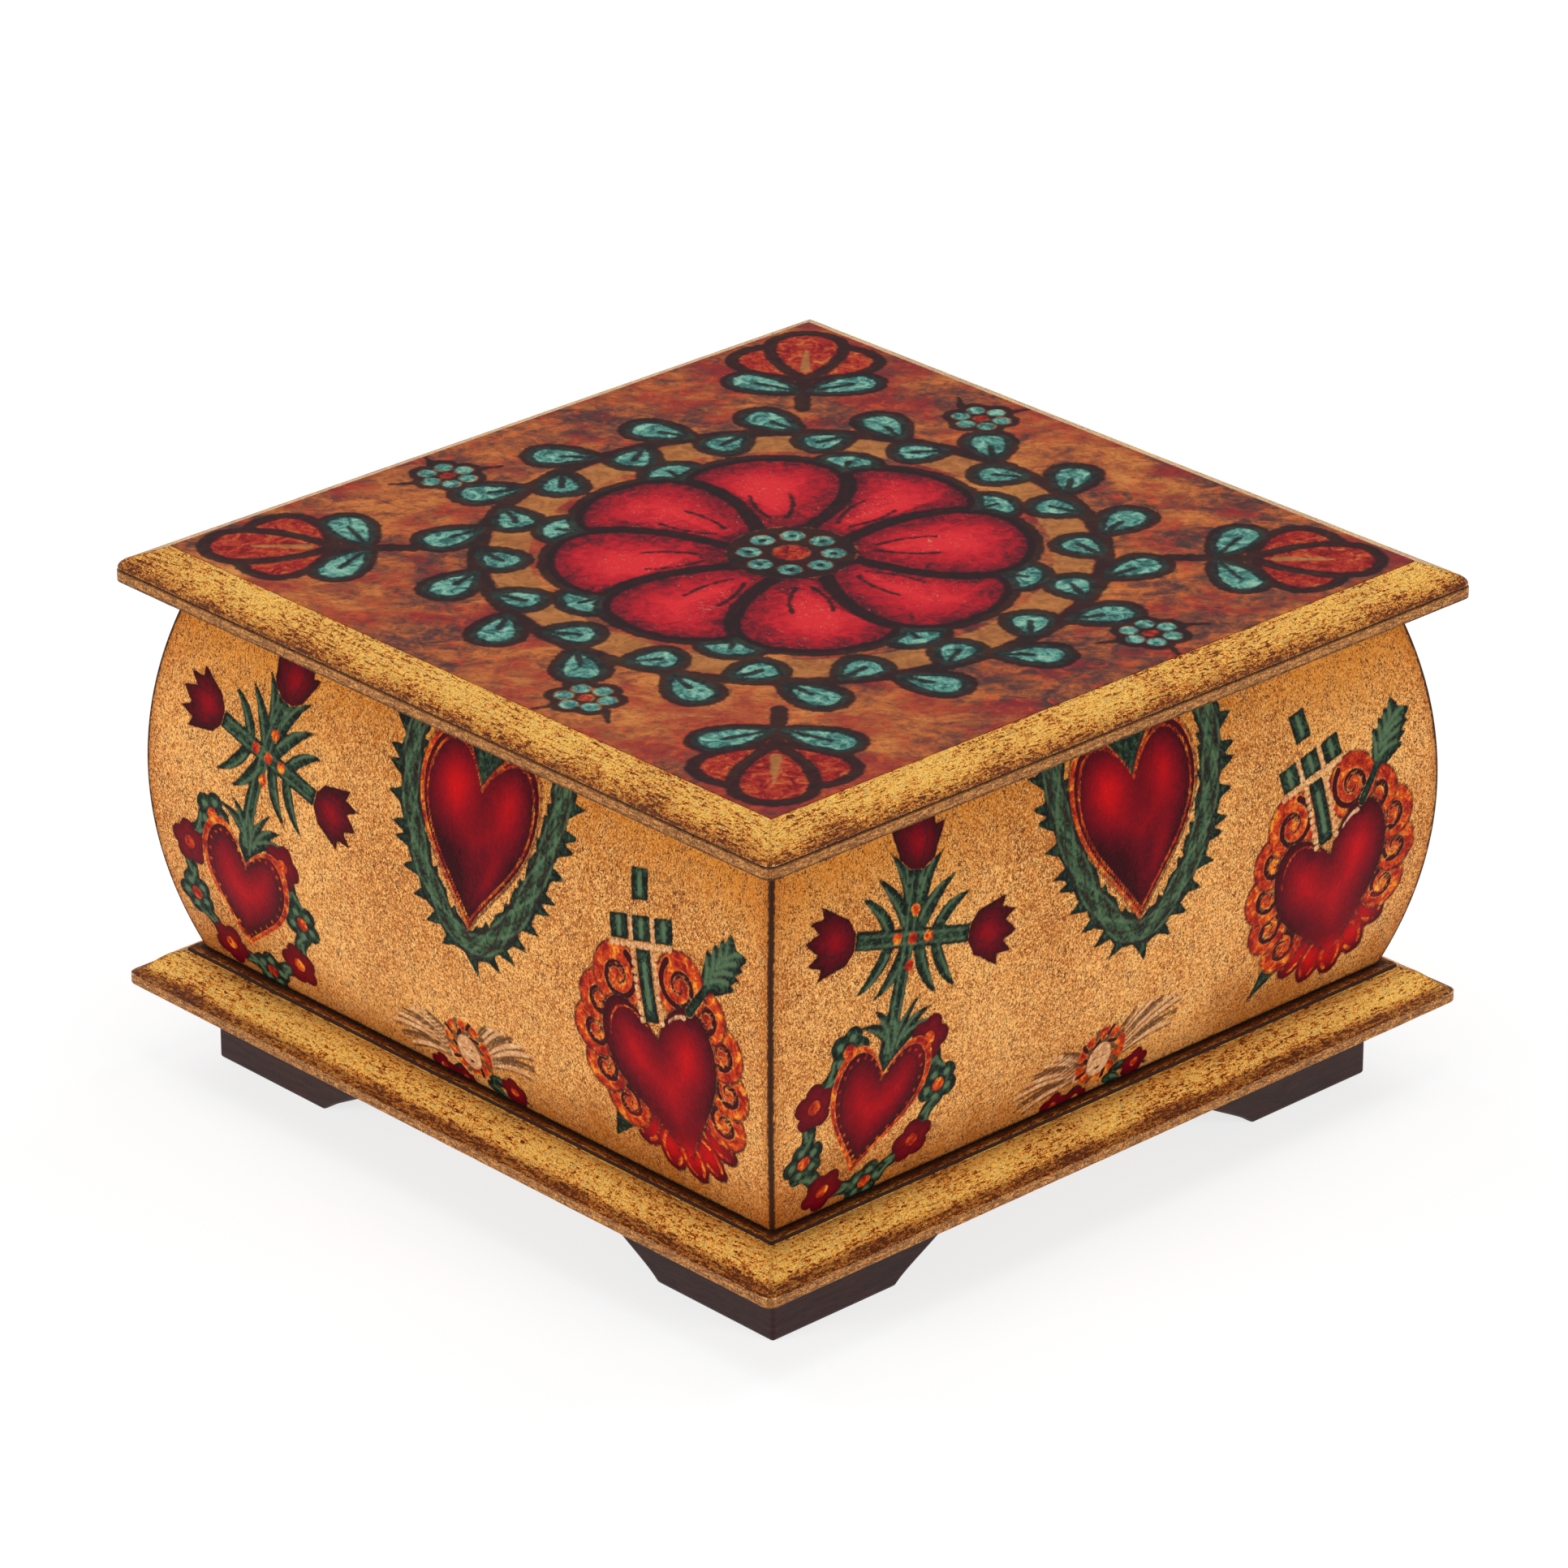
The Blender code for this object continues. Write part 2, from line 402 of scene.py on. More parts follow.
@dataclass(frozen=True)
class WallFinish:
    """Printed paper on the walls: a tan ground with short brown fibres, brown toning along the mitres,
    painted shade under the lid and above the base board, and ornaments.
    """

    name: str = "varnished_wall_print"
    tans: Tones = (
        (0.37, linear(162, 90, 34)),
        (0.475, linear(226, 150, 74)),
        (0.585, linear(252, 192, 112)),
    )
    fibre: Colour = linear(88, 28, 18)
    # Amber tints the mitres' edges and is painted shade under the lid. The brown below tones the mitres'
    # edges and is painted shade above the base board.
    amber: Colour = linear(214, 126, 18)
    toning_and_painted_shade: Colour = linear(156, 78, 6)
    mitre: Colour = linear(44, 24, 18)
    greens: Tones = ((0.40, linear(14, 22, 18)), (0.52, linear(32, 50, 38)), (0.68, linear(64, 90, 60)))
    vein: Colour = linear(108, 136, 98)
    reds: Tones = (
        (0.16, linear(50, 2, 10)),
        (0.34, linear(100, 2, 18)),
        (0.56, linear(144, 3, 18)),
        (0.86, linear(204, 8, 10)),
        (1.00, linear(220, 62, 34)),
    )
    oranges: Tones = (
        (0.40, linear(134, 18, 16)),
        (0.53, linear(200, 62, 18)),
        (0.68, linear(246, 164, 46)),
    )
    ink: Colour = linear(48, 20, 22)
    pale_shade: Colour = linear(198, 136, 92)
    pale: Colour = linear(236, 190, 142)
    # Heights over which painted shade browns the wall, above the base board and under the lid.
    painted_shade_near_base: Point = (34.0 * MM, 18.0 * MM)
    painted_shade_near_lid: Point = (64.0 * MM, 84.0 * MM)
    line_on_base: Point = (20.7 * MM, 20.2 * MM)

    def material(self) -> bpy.types.Material:
        """Writes the nodes. The mesh keeps each colour's depth in millimetres, and `brink`.

        Returns:
            The material.
        """
        p = Painter(self.name)
        edge = p.math("SUBTRACT", p.noise(p.place, 0.8 * MM, 3.0, 0.6), 0.5)
        mid = p.noise(p.place, 2.6 * MM, 4.0, 0.62)
        brush = p.noise(p.place, 1.3 * MM, 3.0, 0.6, 1.4)
        broad = p.noise(p.place, 26.0 * MM, 3.0)
        fibres = p.noise(p.stretched(1.0, 1.0, 0.62), 0.42 * MM, 2.0, 0.55, 2.2)
        colour = self.ground(p, mid, broad, fibres)
        colour = self.ornaments(p, colour, edge, mid, brush)
        colour = p.mix((p.step(fibres, 0.60, 0.70), 0.30), colour, self.fibre)
        colour = self.joints(p, colour, edge)
        roughness = p.total(0.40, (mid, 0.10))
        height = p.total((fibres, -0.5), (brush, 0.5), 0.5)
        return p.surface(colour, roughness, (height, 0.10 * MM), 0.05)

    def ground(self, p: Painter, mid: object, broad: object, fibres: object) -> bpy.types.NodeSocket:
        """The paper's own colour, with painted shade that browns it under the lid's overhang and above the
        base board.

        Args:
            p: the finish's node writer.
            mid: noise of a few millimetres.
            broad: noise of a few centimetres.
            fibres: fine wormy noise.

        Returns:
            The ground colour.
        """
        fine = p.noise(p.place, 0.40 * MM, 3.0, 0.7, 0.8)
        tone = p.total((fine, 1.15), (mid, 0.40), (broad, 0.30), -0.418)
        colour = p.ramp(tone, self.tans)
        # Painted shade: browner above the base board and, in amber, under the lid's overhang.
        lifted = p.total(p.parts(p.place)[2], (p.math("SUBTRACT", broad, 0.5), 22.0 * MM))
        colour = p.mix((p.step(lifted, *self.painted_shade_near_base), 0.74), colour, self.toning_and_painted_shade)
        colour = p.mix((p.step(lifted, *self.painted_shade_near_lid), 0.74), colour, self.amber)
        hairs = p.noise(p.place, 1.3 * MM, 2.0, 0.55, 1.2)
        hairs = p.step(p.math("ABSOLUTE", p.math("SUBTRACT", hairs, 0.5)), 0.085, 0.040)
        hairs = p.math("MULTIPLY", hairs, p.step(p.total(fibres, (mid, 0.35)), 0.680, 0.750))
        specks = p.math("MAXIMUM", hairs, p.step(p.total(fibres, (mid, 0.25)), 0.680, 0.730))
        return p.mix((specks, 0.86), colour, self.fibre)

    def ornaments(
        self, p: Painter, colour: object, edge: object, mid: object, brush: object
    ) -> bpy.types.NodeSocket:
        """Lays the ornaments' colours over the ground, from the leaves up to the highlights.

        Args:
            p: the finish's node writer.
            colour: the ground.
            edge: fine noise about 0, which roughens every outline.
            mid: noise of a few millimetres.
            brush: wormy noise of a millimetre or two.

        Returns:
            The printed colour.
        """
        def shape(name: str, soft: float = 0.16) -> bpy.types.NodeSocket:
            """How much of a colour shows: 1 inside its shapes, 0 outside."""
            return p.step(p.total(p.kept(name), (edge, 0.62)), -soft, soft)

        green = p.ramp(p.total((brush, 0.9), (p.kept("leaf"), 0.10), -0.05), self.greens)
        green = p.mix((shape("vein", 0.30), 0.52), green, self.vein)
        colour = p.mix(shape("leaf"), colour, green)
        red = p.total((p.kept("crimson"), 0.055), (p.kept("glow"), 0.55), (brush, 0.30))
        colour = p.mix(shape("crimson"), colour, p.ramp(red, self.reds))
        orange = p.ramp(p.total((mid, 0.7), (brush, 0.5), -0.10), self.oranges)
        colour = p.mix(shape("rim"), colour, orange)
        colour = p.mix((shape("ink"), 0.80), colour, self.ink)
        pale = p.mix(p.step(brush, 0.40, 0.62), self.pale_shade, self.pale)
        return p.mix((shape("pale"), 0.88), colour, pale)

    def joints(self, p: Painter, colour: object, edge: object) -> bpy.types.NodeSocket:
        """Darkens the mitred corner and the line along the base board.

        Args:
            p: the finish's node writer.
            colour: the print.
            edge: fine noise about 0.

        Returns:
            The colour of the whole face.
        """
        brink = p.total(p.kept("brink"), (edge, 0.9))
        colour = p.mix((p.step(brink, 9.0, 0.5), 0.14), colour, self.amber, "MULTIPLY")
        colour = p.mix((p.step(brink, 2.6, 0.4), 0.45), colour, self.toning_and_painted_shade)
        colour = p.mix((p.step(brink, 0.75, 0.35), 0.94), colour, self.mitre)
        height = p.total(p.parts(p.place)[2], (edge, 0.9 * MM))
        return p.mix((p.step(height, *self.line_on_base), 0.6), colour, self.mitre)


@dataclass(frozen=True)
class LidFinish:
    """Printed paper on the lid: a mottled fiery ground with bold outlined folk flowers."""

    name: str = "varnished_lid_print"
    grounds: Tones = (
        (0.31, linear(76, 48, 46)),
        (0.41, linear(114, 62, 48)),
        (0.49, linear(148, 78, 46)),
        (0.57, linear(176, 96, 48)),
        (0.66, linear(196, 118, 56)),
        (0.79, linear(210, 142, 78)),
    )
    red_ground: Colour = linear(152, 24, 34)
    ember: Colour = linear(206, 78, 36)
    mark: Colour = linear(52, 36, 38)
    fibre: Colour = linear(70, 36, 34)
    ochres: Tones = ((0.38, linear(152, 92, 44)), (0.62, linear(182, 120, 64)))
    fires: Tones = (
        (0.38, linear(106, 12, 18)),
        (0.48, linear(156, 26, 24)),
        (0.58, linear(178, 62, 32)),
        (0.70, linear(200, 120, 58)),
    )
    reds: Tones = (
        (0.24, linear(78, 14, 28)),
        (0.38, linear(134, 14, 32)),
        (0.54, linear(184, 18, 36)),
        (0.80, linear(214, 38, 46)),
    )
    red_fleck: Colour = linear(228, 170, 132)
    teals: Tones = (
        (0.40, linear(44, 88, 84)),
        (0.51, linear(84, 144, 132)),
        (0.64, linear(142, 190, 164)),
    )
    ink: Colour = linear(30, 18, 22)

    def material(self) -> bpy.types.Material:
        """Writes the nodes. The mesh keeps each colour's depth in millimetres.

        Returns:
            The material.
        """
        p = Painter(self.name)
        edge = p.math("SUBTRACT", p.noise(p.place, 1.5 * MM, 4.0, 0.65), 0.5)
        dabs = p.noise(p.place, 2.4 * MM, 4.0, 0.65, 0.9)
        fibres = p.noise(p.stretched(1.0, 0.45, 1.0), 0.55 * MM, 3.0, 0.6, 2.0)
        colour = self.ground(p, dabs)
        colour = self.flowers(p, colour, edge, dabs, fibres)
        colour = p.mix((p.step(fibres, 0.58, 0.72), 0.30), colour, self.fibre)
        roughness = p.total(0.36, (dabs, 0.14))
        height = p.total((fibres, -0.5), (dabs, 0.4), 0.5)
        return p.surface(colour, roughness, (height, 0.05 * MM), 0.14)

    def ground(self, p: Painter, dabs: object) -> bpy.types.NodeSocket:
        """Mottles brown, ochre, orange and red, redder towards the front left and back right corners.

        Args:
            p: the finish's node writer.
            dabs: noise of a few millimetres.

        Returns:
            The ground colour.
        """
        x, y, _ = p.parts(p.place)
        slant = p.math("SUBTRACT", x, y)
        outwards = p.math("ADD", x, y)
        drawn = p.vector(p.math("MULTIPLY", slant, 0.46), p.math("MULTIPLY", outwards, 0.71), 0.0)
        clouds = p.noise(p.place, 34.0 * MM, 3.0, 0.6, 0.8)
        patches = p.noise(drawn, 6.0 * MM, 5.0, 0.66, 1.0)
        rim = p.math("MAXIMUM", p.math("ABSOLUTE", x), p.math("ABSOLUTE", y))
        rimward = p.step(rim, 40.0 * MM, 72.0 * MM)
        tone = p.total((clouds, 0.80), (patches, 0.85), (dabs, 0.60), (rimward, -0.03), -0.60)
        colour = p.ramp(tone, self.grounds)
        corners = p.step(p.math("ABSOLUTE", outwards), 60.0 * MM, 130.0 * MM)
        reds = p.total(p.noise(drawn, 11.0 * MM, 4.0, 0.68), (corners, 0.12), (dabs, 0.35), -0.175)
        colour = p.mix((p.step(reds, 0.48, 0.62), 0.66), colour, self.red_ground)
        embers = p.step(p.total((dabs, 0.8), (patches, 0.2)), 0.54, 0.64)
        colour = p.mix((embers, 0.46), colour, self.ember)
        marks = p.noise(p.vector(p.math("MULTIPLY", slant, 0.3), outwards, 0.0), 0.55 * MM, 3.0, 0.62, 1.4)
        return p.mix((p.step(marks, 0.55, 0.63), 0.50), colour, self.mark)

    def flowers(
        self, p: Painter, colour: object, edge: object, dabs: object, fibres: object
    ) -> bpy.types.NodeSocket:
        """Lays the flowers' colours over the ground.

        Args:
            p: the finish's node writer.
            colour: the ground.
            edge: noise about 0, which roughens every outline.
            dabs: noise of a few millimetres.
            fibres: fine wormy noise.

        Returns:
            The printed colour.
        """
        def shape(name: str, soft: float = 0.30) -> bpy.types.NodeSocket:
            """How much of a colour shows: 1 inside its shapes, 0 outside."""
            return p.step(p.total(p.kept(name), (edge, 1.3)), -soft, soft)

        colour = p.mix((shape("ochre"), 0.85), colour, p.ramp(dabs, self.ochres))
        fire = p.ramp(p.total((dabs, 0.9), (fibres, 0.35), -0.12), self.fires)
        colour = p.mix(shape("fire"), colour, fire)
        red = p.total((p.kept("red"), 0.045), (p.kept("glow"), 0.30), (dabs, 0.80), -0.18)
        flecks = p.step(p.total(fibres, (p.kept("glow"), 0.10)), 0.67, 0.73)
        red = p.mix((flecks, 0.66), p.ramp(red, self.reds), self.red_fleck)
        colour = p.mix(shape("red"), colour, red)
        teal = p.ramp(p.total((dabs, 0.9), (fibres, 0.3), -0.10), self.teals)
        colour = p.mix(shape("teal"), colour, teal)
        return p.mix((shape("ink"), 0.93), colour, self.ink)


# Drawing on a print, in millimetres


def bezier(start: Point, start_handle: Point, end_handle: Point, end: Point, steps: int) -> list[Point]:
    """Points along a Bezier curve in the plane, both ends included.

    Args:
        start: first point.
        start_handle: handle of the first point.
        end_handle: handle of the last point.
        end: last point.
        steps: how many stretches the curve is cut into.

    Returns:
        The points.
    """
    points = []
    for i in range(steps + 1):
        t = i / steps
        weights = ((1 - t) ** 3, 3 * t * (1 - t) ** 2, 3 * t * t * (1 - t), t**3)
        corners = (start, start_handle, end_handle, end)
        points.append(tuple(sum(w * c[axis] for w, c in zip(weights, corners)) for axis in (0, 1)))
    return points


def bow(start: Point | np.ndarray, end: Point | np.ndarray, bend: float = 0.0) -> np.ndarray:
    """A gently curved path of nine points.

    Args:
        start: first point.
        end: last point.
        bend: how far its middle stands to the left, as a share of its length.

    Returns:
        The path's points.
    """
    a, b = np.array(start, float), np.array(end, float)
    side = np.array((a[1] - b[1], b[0] - a[0])) * bend * 2
    t = np.linspace(0, 1, 9)[:, None]
    return a * (1 - t) + b * t + side * t * (1 - t) * 2


def circle(middle: Sequence[float] | np.ndarray, radius: float, count: int) -> np.ndarray:
    """Points round a circle.

    Args:
        middle: its middle.
        radius: its radius.
        count: how many points.

    Returns:
        The points, anticlockwise.
    """
    turn = np.linspace(0, 2 * math.pi, count, endpoint=False)
    return np.asarray(middle, float).reshape(2) + radius * np.column_stack((np.cos(turn), np.sin(turn)))


def headings(points: np.ndarray) -> tuple[np.ndarray, np.ndarray]:
    """The direction from the first point to the last, and the direction to its left."""
    ahead = (points[-1] - points[0]) / np.hypot(*(points[-1] - points[0]))
    return ahead, np.array((-ahead[1], ahead[0]))


def heart(width: float, height: float) -> np.ndarray:
    """A heart about its middle, upright.

    Args:
        width: across the lobes.
        height: from the tip to the top of the lobes.

    Returns:
        The outline's points.
    """
    t = np.linspace(0, 2 * math.pi, 72, endpoint=False)
    x = 16 * np.sign(np.sin(t)) * abs(np.sin(t)) ** 2.2
    y = 13 * np.cos(t) - 5 * np.cos(2 * t) - 2 * np.cos(3 * t) - np.cos(4 * t)
    return np.column_stack((x * width / 32, (y + 2.5) * height / 29))


def round_about(points: Sequence[Point] | np.ndarray, degrees: float) -> np.ndarray:
    """Turns points about the origin, anticlockwise."""
    turn = math.radians(degrees)
    c, s = math.cos(turn), math.sin(turn)
    return np.asarray(points, float) @ np.array(((c, s), (-s, c)))


@dataclass(frozen=True)
class Place:
    """Where a motif stands on its print: its middle, its lean anticlockwise in degrees and its size."""

    x: float
    y: float
    lean: float = 0.0
    size: float = 1.0

    def at(self, points: Sequence[Point] | np.ndarray) -> np.ndarray:
        """The motif's own points, on the print."""
        own = np.asarray(points, float).reshape(-1, 2) * self.size
        return round_about(own, self.lean) + (self.x, self.y)

    def moved(self, x: float, y: float, turn: float = 0.0, size: float = 1.0) -> "Place":
        """The place at one of the motif's own points.

        Args:
            x: the point's x.
            y: the point's y.
            turn: how much further the new place leans.
            size: the new place's size.

        Returns:
            The new place.
        """
        return Place(*self.at((x, y))[0], self.lean + turn, size)


class Canvas:
    """A print seen as points, each of which keeps how deep it lies in each colour's shapes.

    Depths are in millimetres: above zero inside a shape, and OUTSIDE where no shape is near.
    """

    OUTSIDE = -1.5

    def __init__(self, x: np.ndarray, y: np.ndarray, colours: Iterable[str]) -> None:
        """Starts with nothing drawn.

        Args:
            x: the points' places across the print.
            y: the points' places up the print.
            colours: names of the layers that shapes are filled on.
        """
        self.x = x
        self.y = y
        self.colours = {name: np.full(len(x), self.OUTSIDE) for name in colours}
        self.light = np.zeros(len(x))

    def layers(self) -> list[tuple[str, np.ndarray, float]]:
        """What a mesh keeps of the print: each layer's name, its values and the value elsewhere."""
        colours = [(name, values, self.OUTSIDE) for name, values in self.colours.items()]
        return colours + [("glow", self.light, 0.0)]

    def near(self, points: np.ndarray, margin: float) -> np.ndarray:
        """Indices of the print's points within a margin of a shape's box."""
        low = points.min(axis=0) - margin
        high = points.max(axis=0) + margin
        inside = (self.x > low[0]) & (self.x < high[0]) & (self.y > low[1]) & (self.y < high[1])
        return np.nonzero(inside)[0]

    def lay(self, colour: str, reach: np.ndarray, depth: np.ndarray, over: bool) -> None:
        """Adds a shape's depths to a colour.

        Args:
            colour: the layer.
            reach: indices of the points that the depths are for.
            depth: the depths.
            over: True if the shape hides what was drawn there before.
        """
        if over:
            for values in self.colours.values():
                values[reach] = np.minimum(values[reach], -depth)
        layer = self.colours[colour]
        layer[reach] = np.maximum(layer[reach], depth)

    def fill(self, colour: str, outline: np.ndarray, over: bool = False) -> None:
        """Fills a closed outline.

        Args:
            colour: the layer.
            outline: its points.
            over: True if it hides what was drawn there before.
        """
        reach = self.near(outline, -self.OUTSIDE)
        if not len(reach):
            return
        px, py = self.x[reach][:, None], self.y[reach][:, None]
        ax, ay = outline[:, 0], outline[:, 1]
        bx, by = np.roll(ax, -1), np.roll(ay, -1)
        dx, dy = bx - ax, by - ay
        t = np.clip(((px - ax) * dx + (py - ay) * dy) / (dx * dx + dy * dy + TINY), 0, 1)
        gap = np.sqrt((px - ax - t * dx) ** 2 + (py - ay - t * dy) ** 2).min(axis=1)
        crosses = (ay > py) != (by > py)
        beyond = px < ax + (py - ay) * dx / np.where(dy == 0, TINY, dy)
        inside = (crosses & beyond).sum(axis=1) % 2 == 1
        self.lay(colour, reach, np.where(inside, gap, -gap), over)

    def stroke(
        self, colour: str, path: np.ndarray, width: float | np.ndarray, over: bool = False
    ) -> None:
        """Draws a line with round ends.

        Args:
            colour: the layer.
            path: its points.
            width: its width, or one width for each point.
            over: True if it hides what was drawn there before.
        """
        half = np.broadcast_to(np.asarray(width, float) / 2, len(path))
        reach = self.near(path, half.max() - self.OUTSIDE)
        if not len(reach):
            return
        px, py = self.x[reach], self.y[reach]
        depth = np.full(len(reach), self.OUTSIDE)
        for (ax, ay), (bx, by), ra, rb in zip(path, path[1:], half, half[1:]):
            dx, dy = bx - ax, by - ay
            t = np.clip(((px - ax) * dx + (py - ay) * dy) / (dx * dx + dy * dy + TINY), 0, 1)
            gap = np.hypot(px - ax - t * dx, py - ay - t * dy)
            depth = np.maximum(depth, ra + (rb - ra) * t - gap)
        self.lay(colour, reach, depth, over)

    def dot(self, colour: str, middle: Point | np.ndarray, radius: float, over: bool = False) -> None:
        """Draws a round dot."""
        spot = np.asarray(middle, float).reshape(2)
        self.stroke(colour, np.array((spot, spot + (0.001, 0))), 2 * radius, over)

    def closed(self, colour: str, outline: np.ndarray, width: float) -> None:
        """Draws a line round a closed outline."""
        self.stroke(colour, np.vstack((outline, outline[:1])), width)

    def glow(self, middle: Point | np.ndarray, spread: Point, lean: float, strength: float) -> None:
        """Adds soft light, or shade where the strength is under zero.

        Args:
            middle: where it is strongest.
            spread: how far it spreads along and across its lean.
            lean: its lean anticlockwise, in degrees.
            strength: how much is added at the middle.
        """
        spot = np.asarray(middle, float).reshape(2)
        local = round_about(np.column_stack((self.x - spot[0], self.y - spot[1])), -lean)
        square = (local[:, 0] / spread[0]) ** 2 + (local[:, 1] / spread[1]) ** 2
        self.light += strength * np.exp(-square)


class WallPrint(Canvas):
    """The ornaments of one wall, in the manner of traditional folk painting."""

    def __init__(self, x: np.ndarray, y: np.ndarray) -> None:
        """Draws every ornament.

        Args:
            x: the points' places across the wall, left to right from outside.
            y: the points' places up the wall's bowed face, from its mid-height.
        """
        super().__init__(x, y, ("leaf", "vein", "crimson", "rim", "ink", "pale"))
        self.tulip_stalk(Place(-43.0, 11.0, -14.0))
        self.garland_heart(Place(-50.5, -15.5, -12.0))
        self.thorny_heart(Place(5.4, 15.4, -1.5))
        self.winged_head(Place(0.5, -26.5, 4.0))
        self.scroll_heart(Place(48.6, -7.6, 12.0))

    def blade(
        self, start: np.ndarray, end: np.ndarray, width: float, bend: float, vein: bool = True
    ) -> None:
        """Draws a pointed leaf.

        Args:
            start: its foot.
            end: its tip.
            width: its greatest width.
            bend: how far its middle stands to the left, as a share of its length.
            vein: True for a lighter line beside its middle.
        """
        path = bow(start, end, bend)
        t = np.linspace(0, 1, len(path))
        self.stroke("leaf", path, width * np.sin(math.pi * (0.34 + 0.66 * t)) + 0.05)
        if vein:
            self.stroke("vein", path[1:-2] + headings(path)[1] * width * 0.2, width * 0.22)

    def tulip(self, place: Place) -> None:
        """Draws a jagged tulip that points up its own place."""
        half = [(1.3, -3.8), (3.6, -2.2), (4.5, 0.2), (5.9, 3.6), (3.9, 3.0), (3.4, 6.2), (1.7, 3.9)]
        left = [(-x, y) for x, y in half]
        outline = half + [(0.2, 6.9)] + left[::-1]
        self.fill("crimson", place.at(outline), over=True)
        for side in (-1, 1):
            self.stroke("ink", place.at(bow((side * 0.5, -3.0), (side * 1.8, 3.2), side * -0.12)), 0.34)
            self.stroke("ink", place.at(bow((side * 1.4, -2.6), (side * 4.0, 2.4), side * -0.16)), 0.30)
        self.glow(place.at((0.6, 0.5)), (2.4, 3.4), place.lean, 0.32)

    def tulip_stalk(self, place: Place) -> None:
        """Draws a leafy stalk whose four arms cross, three of them with a tulip."""
        for side in (-1, 1):
            for start, end, width, bend in (
                ((1.0, 1.2), (8.4, 9.8), 2.5, 0.08),
                ((1.0, 4.6), (5.6, 13.4), 2.3, 0.10),
                ((4.6, 0.8), (11.6, 6.8), 2.2, 0.10),
                ((1.2, 7.6), (4.4, 15.0), 1.7, 0.10),
                ((1.4, -1.2), (7.0, -9.4), 2.4, -0.08),
                ((4.8, -0.8), (11.0, -8.6), 2.3, -0.08),
                ((0.6, -19.0), (6.4, -10.8), 2.6, 0.16),
                ((0.6, -17.0), (8.8, -13.6), 2.2, 0.14),
                ((0.2, -20.5), (3.6, -8.6), 2.0, 0.12),
            ):
                flip = (side * start[0], start[1]), (side * end[0], end[1])
                self.blade(*place.at(flip), width, side * bend)
        self.stroke("leaf", place.at(bow((-1.6, -21.0), (0.0, 10.6), 0.02)), np.linspace(3.0, 2.5, 9))
        self.stroke("leaf", place.at(((-12.0, 0.2), (12.0, 0.0))), 3.0)
        for shift in (-0.75, 0.75):
            self.stroke("vein", place.at(bow((shift - 1.2, -18.0), (shift, 9.6), 0.02)), 0.36)
            self.stroke("vein", place.at(((-11.0, shift), (11.0, shift))), 0.36)
        for x, y in ((0, 0), (3.2, 0.2), (-3.2, 0.1), (0.1, 4.4), (-0.1, -4.2)):
            self.dot("rim", place.at((x, y)), 0.95)
        for x, y, lean in ((0.0, 14.2, 0), (-15.6, 0.2, 90), (15.6, 0.0, -90)):
            self.tulip(place.moved(x, y, lean, 0.98))

    def blossom(self, middle: np.ndarray, radius: float, red: bool, lean: float) -> None:
        """Draws a small five-petalled blossom.

        Args:
            middle: its middle.
            radius: its reach.
            red: True for crimson, False for green.
            lean: the direction of one petal, in degrees.
        """
        for spot in Place(*middle, lean).at(circle((0, 0), radius * 0.56, 5)):
            self.dot("crimson" if red else "leaf", spot, radius * 0.47)
            if not red:
                self.dot("vein", spot, radius * 0.16)
        self.closed("ink", circle(middle, radius * 0.36, 10), 0.22)
        self.dot("rim", middle, radius * 0.30)
        if red:
            self.glow(middle, (radius, radius), 0.0, 0.34)

    def garland_heart(self, place: Place) -> None:
        """Draws a rimmed heart ringed with blossoms and leaves, open above."""
        blossoms = 8
        first, apart = math.radians(128), math.radians(284 / (blossoms - 1))
        for i in range(blossoms):
            turn = first + i * apart
            after = turn + apart / 2
            knot = place.at((12.9 * math.cos(after), 13.6 * math.sin(after) - 0.6))[0]
            if i < blossoms - 1:
                out, side = headings(np.array(((place.x, place.y), knot)))
                for way in (-1, 1):
                    tip = knot + out * 2.2 + side * way * 3.3
                    self.blade(knot - side * way, tip, 2.7, way * 0.1)
            spot = place.at((13.9 * math.cos(turn), 14.4 * math.sin(turn) - 0.6))[0]
            self.blossom(spot, 4.1, i % 2 == 1, 20.0 * i)
        self.fill("rim", place.at(heart(21.0, 23.0)), over=True)
        self.fill("crimson", place.at(heart(18.9, 20.9)), over=True)
        for spot in place.at(heart(17.2, 19.0))[::2]:
            self.dot("rim", spot, 0.30)
        self.closed("ink", place.at(heart(15.8, 17.5)), 0.40)
        self.glow(place.at((-2.0, 1.4)), (6.0, 6.0), 20, 0.40)
        self.glow(place.at((3.8, 3.6)), (2.6, 4.0), -30, 0.22)

